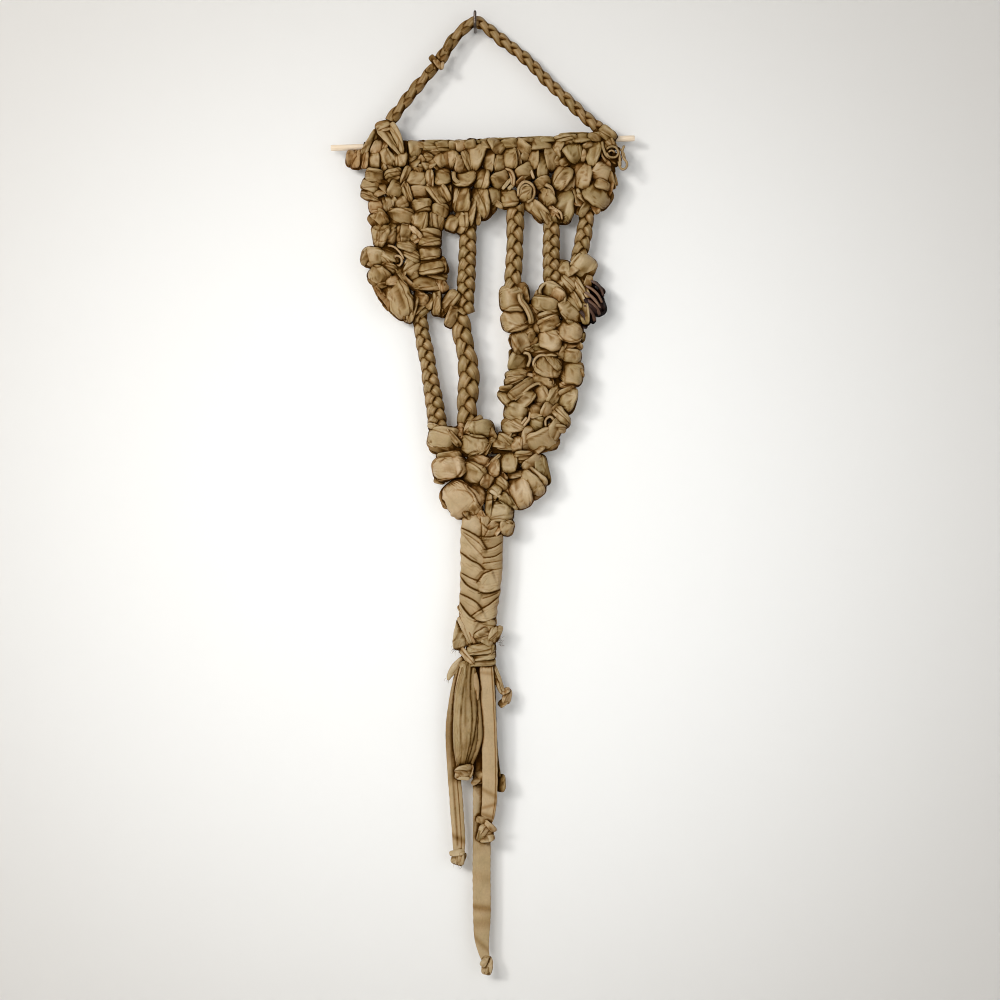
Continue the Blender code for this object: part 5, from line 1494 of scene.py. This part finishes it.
CORED, BACKED = 8, 11  # lobes of this size have packed cloth inside, and a lobe behind
CORE_FRONT, BACK_FRONT = 8.2, 9.6  # how far those two stand out


def knots(
    name,
    rows,
    curls=(),
    seed=1,
    node_name="macrame",
    core=True,
    shade=0.0,
    cloth=KHAKI,
    solid=(),
    seams=(),
    fine=1.0,
):
    """A field of knots: its lobes and curled edges in front, packed cloth inside, dark with painted shade, and
    plainer lobes behind.
    """
    pile = Pile(name, seed, shade, seams)
    rng = np.random.default_rng(seed)
    for p in rows:
        pile.pad(p, fine)
        size = min(p.wide, p.long) if core and p.dark < SUNK else 0
        flat = p._replace(roll=0.01, pitch=0.01)
        if size >= CORED:
            front = min(CORE_FRONT, p.front - 1.6)
            inside = flat._replace(long=p.long + 1.8, wide=p.wide + 2.2, front=front, puff=5)
            # the packed cloth inside is darkened as painted shade deep in the knot
            pile.pad(inside._replace(lips=(), pleats=0, dark=0.4, rough=0), detail=0.4, back=1.0)
        if size >= BACKED:
            turned = flat._replace(
                long=p.long + 1.7,
                wide=p.wide + 1.9,
                turn=p.turn + rng.uniform(-24, 24),
                front=BACK_FRONT + rng.uniform(-0.8, 0.3),
                tone=float(np.clip(p.tone + rng.uniform(-0.2, 0.2), 0, 1)),
                rough=0.5,
            )
            pile.pad(turned, detail=0.75, back=0.5, behind=True)
    for s in solid:
        pile.strap(s, detail=1.7)
    # curls sit a little lower, with a little more painted shade
    for s in curls:
        sunk = [(row[0], row[1], row[2] - 0.8, *row[3:]) for row in s.route]
        pile.strap(s._replace(route=sunk, wide=0.85 * s.wide, dark=s.dark + 0.06))
    pile.build(cloth, node_name)


knots("side_nub", SIDE_NUB, seed=11, shade=0.16)
knots("left_end_knot", LEFT_KNOT, seed=12, node_name="hanger", shade=0.06)
knots("right_end_knot", RIGHT_KNOT, RIGHT_KNOT_CURLS, seed=13, node_name="hanger", shade=0.1)
knots("header", HEADER, seed=14, shade=0.1)
knots("panel_left", PANEL_LEFT, seed=15, shade=0.08, seams=LEFT_EDGES, fine=1.1)
knots("panel_middle", PANEL_MIDDLE, MIDDLE_CURLS, seed=16, shade=0.08)
knots("panel_right", PANEL_RIGHT, RIGHT_CURLS, seed=17, shade=0.05)
knots("lobe_left", LOBE_LEFT, LEFT_CURLS, seed=18, shade=0.05, seams=LEFT_EDGES, fine=1.15)
knots("lobe_right", LOBE_RIGHT, RIGHT_LOBE_CURLS, seed=19, shade=0.02, seams=LOBE_EDGES, fine=1.1)
knots("dark_bulge", DARK_BULGE, DARK_STRIPS, seed=20, cloth=CLOTH_IN_PAINTED_SHADE)
knots("cluster", CLUSTER, seed=21, seams=CLUSTER_EDGES, fine=1.3)
knots("thick_plait", THICK_PLAIT, seed=22, solid=PLAIT_TUBE, core=False)
knots("wrap", WRAP, seed=23, node_name="tail")

for count, (name, pitch, *route) in enumerate(PLAITS):
    plait(name, "macrame", pitch, route, Start=0.7 + 1.3 * count, Seed=float(count))
plait(
    "hanger_left",
    "hanger",
    56,
    HANGER_LEFT,
    Seed=11.0,
    Facing=0.5,
    Shade=0.14,
    Unevenness=0.26,
    Sway=0.36,
    Strip_Width=0.62,
)
plait(
    "hanger_right",
    "hanger",
    44,
    HANGER_RIGHT,
    Seed=12.0,
    Start=1.0,
    Facing=-0.4,
    Shade=0.12,
    Unevenness=0.24,
    Sway=0.4,
    Strip_Width=0.58,
)
knots("hanger_fold", HANGER_FOLD, seed=24, node_name="hanger", core=False, shade=0.12)

header_line = [
    DOWEL_CENTRE + DOWEL_WAY * (x - DOWEL_CENTRE[0]) - np.array([0, 0, 0.0005])
    for x in np.linspace(-0.104, 0.128, 40)
]
grown("header_straps", wrap_tree(), line_object("header_straps", header_line), "macrame")


# ---------------------------------------------------------------- the tails


def tail(name, seed, straps, shade=0.0):
    pile = Pile(name, seed, shade)
    for s in straps:
        pile.strap(s)
    return pile.build(KHAKI, "tail")


def sheet_tail(name, seed, strap):
    """A flat tail, built as one strap."""
    tail(name, seed, [strap], 0.06)


sheet_tail(
    "tail_left",
    31,
    S([(465, 656, 6, 8), (461, 670, 6, 11), (455, 700, 4, 12), (452, 730, 2, 13), (453, 760, 1, 13),
      (456, 800, 1, 13.5), (458.5, 835, 2, 13), (459, 853, 3, 12)], 13, 2.6, lips=((0.45, 0.7),), tone=0.6,
      bands=((0.12, 20, 0.16, 0.4), (0.42, 30, 0.42, 0.2), (0.62, 5, 0.2, -0.4), (0.93, 3, 0.5, 0.5)),
      seams=edges((0.6, 462, 664, 455, 700, 451, 740, 454, 800, 457, 845)), **SMOOTH),
)
sheet_tail(
    "tail_right",
    32,
    S([(486, 660, 9, 13), (487.5, 690, 9, 15), (489, 730, 8, 15.5), (490, 770, 7, 15.5),
      (489.5, 800, 7, 15), (487, 822, 8, 13)], 15, 2.4, lips=((0.78, 0.4),), tone=0.75,
      bands=((0.08, 2, 0.3, 0.2), (0.82, 2.4, 0.4, 0.5), (0.9, 2, 0.45, -0.4), (0.96, 2, 0.5, 0.2)),
      **SMOOTH),
)
sheet_tail(
    "tail_long",
    33,
    S([(480, 657, -3, 12), (481, 700, -5, 17), (481.5, 760, -4, 18), (482, 820, -2, 18),
      (481.5, 870, -1, 18), (481.8, 915, -1, 17.5), (481.6, 938, 0, 15), (483.4, 952, 1, 11),
      (487, 964, 2, 8)], 18, 2.2, bands=((0.62, 5, 0.1, -0.5), (0.72, 6, 0.12, 0.2), (0.82, 3.6, 0.5, 0.12),
      (0.87, 6, 0.25, -0.2), (0.94, 4, 0.35, 1.2)), **SMOOTH),
)
tail("tail_folded", 34, TAIL_FOLDED, 0.08)
knots("tail_knots", TAIL_KNOTS, seed=35, node_name="tail", core=False)
tail("tail_scraps", 36, TAIL_SCRAPS)

rng = np.random.default_rng(40)
spots, ways = [], []
for across, down, front, over, along, threads, right, up in FRAYS:
    for _ in range(threads):
        away = rng.normal(0, over / 2), rng.normal(0, along / 2), rng.normal(0, 0.8)
        spots.append(to_frame(across + away[0], down + away[1], front + away[2]))
        ways.append((right + rng.normal(0, 0.3), rng.normal(0, 0.3), up + rng.normal(0, 0.3)))
grown("frayed_threads", fray_tree(), line_object("frayed_threads", spots, False, way=ways), "tail")

make_dowel()
make_hook()


# ---------------------------------------------------------------- painted shade: darker cloth down in the creases and on faces turned from the window

CELL, MARGIN = 0.7, 14  # the grid that the cloth's height is read on, and how far it goes past the cloth
NO_CLOTH = -16.0  # the height of the wall behind it
REACHES = (0.9, 1.6, 2.5, 3.8, 5.5, 8.0, 12.0)  # how far off the cloth around a point is looked at
# the painted shade leans towards the window; it starts at HIDDEN_FROM and is full HIDDEN_OVER past it
WINDOW_TURN = 0.72 * math.pi  # the window is up on the left
TO_WINDOW = (-0.56, -0.62, 0.55)
HIDDEN_FROM, HIDDEN_OVER = 0.23, 0.5


def read_mesh(values, name, width=3):
    read = np.empty(len(values) * width, np.float32)
    values.foreach_get(name, read)
    return read.reshape(-1, width)


def cell_of(points, corner):
    return np.round((points[:, [0, 2]] - corner) / CELL).astype(int)


def height_map(points, sign, corner, size):
    """The nearest cloth to the viewer over a grid, with the wall where there is none."""
    top = np.full(size, NO_CLOTH)
    spot = cell_of(points, corner)
    np.maximum.at(top, (spot[:, 0], spot[:, 1]), sign * (points[:, 1] + MIDDLE))
    around = np.stack([np.roll(top, step, axis) for axis in (0, 1) for step in (-1, 1)])
    filled = np.sort(around, 0)[1]
    return np.where(filled > top + 1.5, filled, top)


def hiding(points, way, top, sign, corner):
    """How much of the room in front of each point is hidden by the cloth around it."""
    total, weights = 0, 0
    depth, lean = sign * (points[:, 1] + MIDDLE), np.maximum(sign * way[:, 1], 0.12)
    for turn in np.arange(12) * math.pi / 6:
        slope, close = np.zeros(len(points)), 0
        right, up = math.cos(turn), math.sin(turn)
        for away in REACHES:
            spot = cell_of(points + away * np.array([right, 0, up]), corner)
            rise = top[spot[:, 0], spot[:, 1]] - depth - 0.25
            slope = np.maximum(slope, rise / away * (1 if away < 2 else 0.75))
            close = slope if away < 1.8 else close
        own = np.clip(np.arctan(-(way[:, 0] * right + way[:, 2] * up) / lean), -0.6, 1.3)
        seen = np.where(slope > 0, np.sin(np.clip(np.arctan(slope) - own, 0, math.pi / 2)), 0)
        touching = np.where(close > 0, np.clip(np.arctan(close) - own - 0.5, 0, 1), 0)
        weight = 1 + 0.55 * math.cos(turn - WINDOW_TURN)
        total = total + weight * (seen + 1.3 * touching)
        weights += weight
    return total / weights


def paint_crease_shade(cloth):
    """Paints shade into the cloth's colour: marks how much of the room each point of the cloth is hidden from,
    most of all towards the window.
    """
    places = [read_mesh(mesh.vertices, "co") / MM for mesh in cloth]
    faces = [read_mesh(mesh.polygons, "center") / MM for mesh in cloth]
    normals = [read_mesh(mesh.vertex_normals, "vector") for mesh in cloth]
    every = np.vstack(places + faces)
    corner = every[:, [0, 2]].min(0) - MARGIN
    size = np.ceil((every[:, [0, 2]].max(0) + MARGIN - corner) / CELL).astype(int) + 1
    tops = {sign: height_map(every, sign, corner, size) for sign in (-1, 1)}
    for mesh, points, way in zip(cloth, places, normals):
        front, back = (hiding(points, way, tops[sign], sign, corner) for sign in (-1, 1))
        facing = np.clip(0.5 - 1.5 * way[:, 1], 0, 1)
        amount = facing * front + (1 - facing) * back
        layer = mesh.attributes["fold"].data
        fold = read_mesh(layer, "value", 1)[:, 0]
        painted_shade = np.clip((amount - HIDDEN_FROM) / HIDDEN_OVER, 0, 1) ** 0.9
        # painted shade on faces turned away from the window
        painted_shade = painted_shade + 0.4 * facing * np.clip(0.4 - way @ np.array(TO_WINDOW), 0, 1)
        layer.foreach_set("value", np.clip(0.7 * fold + painted_shade, 0, 1).astype(np.float32))


paint_crease_shade([o.data for o in bpy.data.objects if o.type == "MESH" and "fold" in o.data.attributes])


# ---------------------------------------------------------------- light, wall, floor and camera

WALL, FLOOR = 0.0012, -1.3
# The wall's paint is lightest at the point below and darker away from it: a painted pool of light with painted
# falloff.
WALL_PAINTED_LIGHT_CENTRE = (0.0, WALL, -0.5)  # the wall darkens away from here, as in the photo
AIM = (0.025, -0.02, -0.47)
EYE = (0.025, -2.022, -0.473)


def flat_panel(name, corners, material):
    mesh = bpy.data.meshes.new(name)
    mesh.from_pydata(corners, [], [(0, 1, 2, 3)])
    mesh.materials.append(material)
    made = bpy.data.objects.new(name, mesh)
    bpy.context.scene.collection.objects.link(made)


def matt_paint(name):
    return surface(name, Base_Color=(0.87, 0.872, 0.862), Roughness=0.9)


def wall_paint():
    """Painted lightest behind the hanging and darker away from it, as a pool of light, and seen from the front
    only.
    """
    material, tree, shader = matt_paint("white wall")
    place = node(tree, "ShaderNodeTexCoord")["Object"]
    apart = node(tree, "ShaderNodeVectorMath", place, WALL_PAINTED_LIGHT_CENTRE, operation="DISTANCE")["Value"]
    painted_falloff = apart.ranged(0.1, 0.8, interpolation_type="SMOOTHSTEP")
    put(shader, Base_Color=blend(tree, painted_falloff, (0.985, 0.987, 0.98), (0.655, 0.635, 0.61)))
    clear = node(tree, "ShaderNodeBsdfTransparent")[0]
    behind = node(tree, "ShaderNodeNewGeometry")["Backfacing"]
    mixed = node(tree, "ShaderNodeMixShader", behind, Flow(tree, shader.outputs[0]), clear)[0]
    put(tree.nodes["Material Output"], Surface=mixed)
    return material


flat_panel("wall", [(-4, WALL, FLOOR), (4, WALL, FLOOR), (4, WALL, 3), (-4, WALL, 3)], wall_paint())
FLOOR_PAINT = matt_paint("pale floor")[0]
flat_panel("floor", [(-4, -5, FLOOR), (4, -5, FLOOR), (4, 4, FLOOR), (-4, 4, FLOOR)], FLOOR_PAINT)


def lamp(name, spot, size, power, colour=(1, 1, 1)):
    data = bpy.data.lights.new(name, "AREA")
    data.shape, data.size, data.energy, data.color = "DISK", size, power, colour
    made = bpy.data.objects.new(name, data)
    made.location = spot
    made.rotation_mode = "QUATERNION"
    made.rotation_quaternion = (Vector(AIM) - Vector(spot)).to_track_quat("-Z", "Y")
    bpy.context.scene.collection.objects.link(made)


lamp("window", (-2.6, -3.5, 0.95), 0.9, 68, (1.0, 0.985, 0.955))
lamp("ceiling", (-0.5, -1.5, -0.05), 0.6, 8.6, (1.0, 0.99, 0.97))
lamp("room", (1.6, -2.6, -0.2), 2.2, 12, (0.93, 0.97, 1.0))
lamp("behind", (0.6, 2.4, 0.6), 1.6, 60)

world = bpy.data.worlds.new("studio")
bpy.context.scene.world = world
world.use_nodes = True
put(world.node_tree.nodes["Background"], Color=(1.0, 0.99, 0.97), Strength=0.3)

camera = bpy.data.cameras.new("camera")
camera.lens, camera.sensor_width = 72, 36
eye = bpy.data.objects.new("camera", camera)
eye.location = EYE
eye.rotation_euler = (math.pi / 2, 0, 0)
bpy.context.scene.collection.objects.link(eye)
bpy.context.scene.camera = eye
bpy.context.scene.view_settings.view_transform = "Standard"
bpy.context.scene.cycles.filter_width = 1.05

bpy.context.view_layer.update()
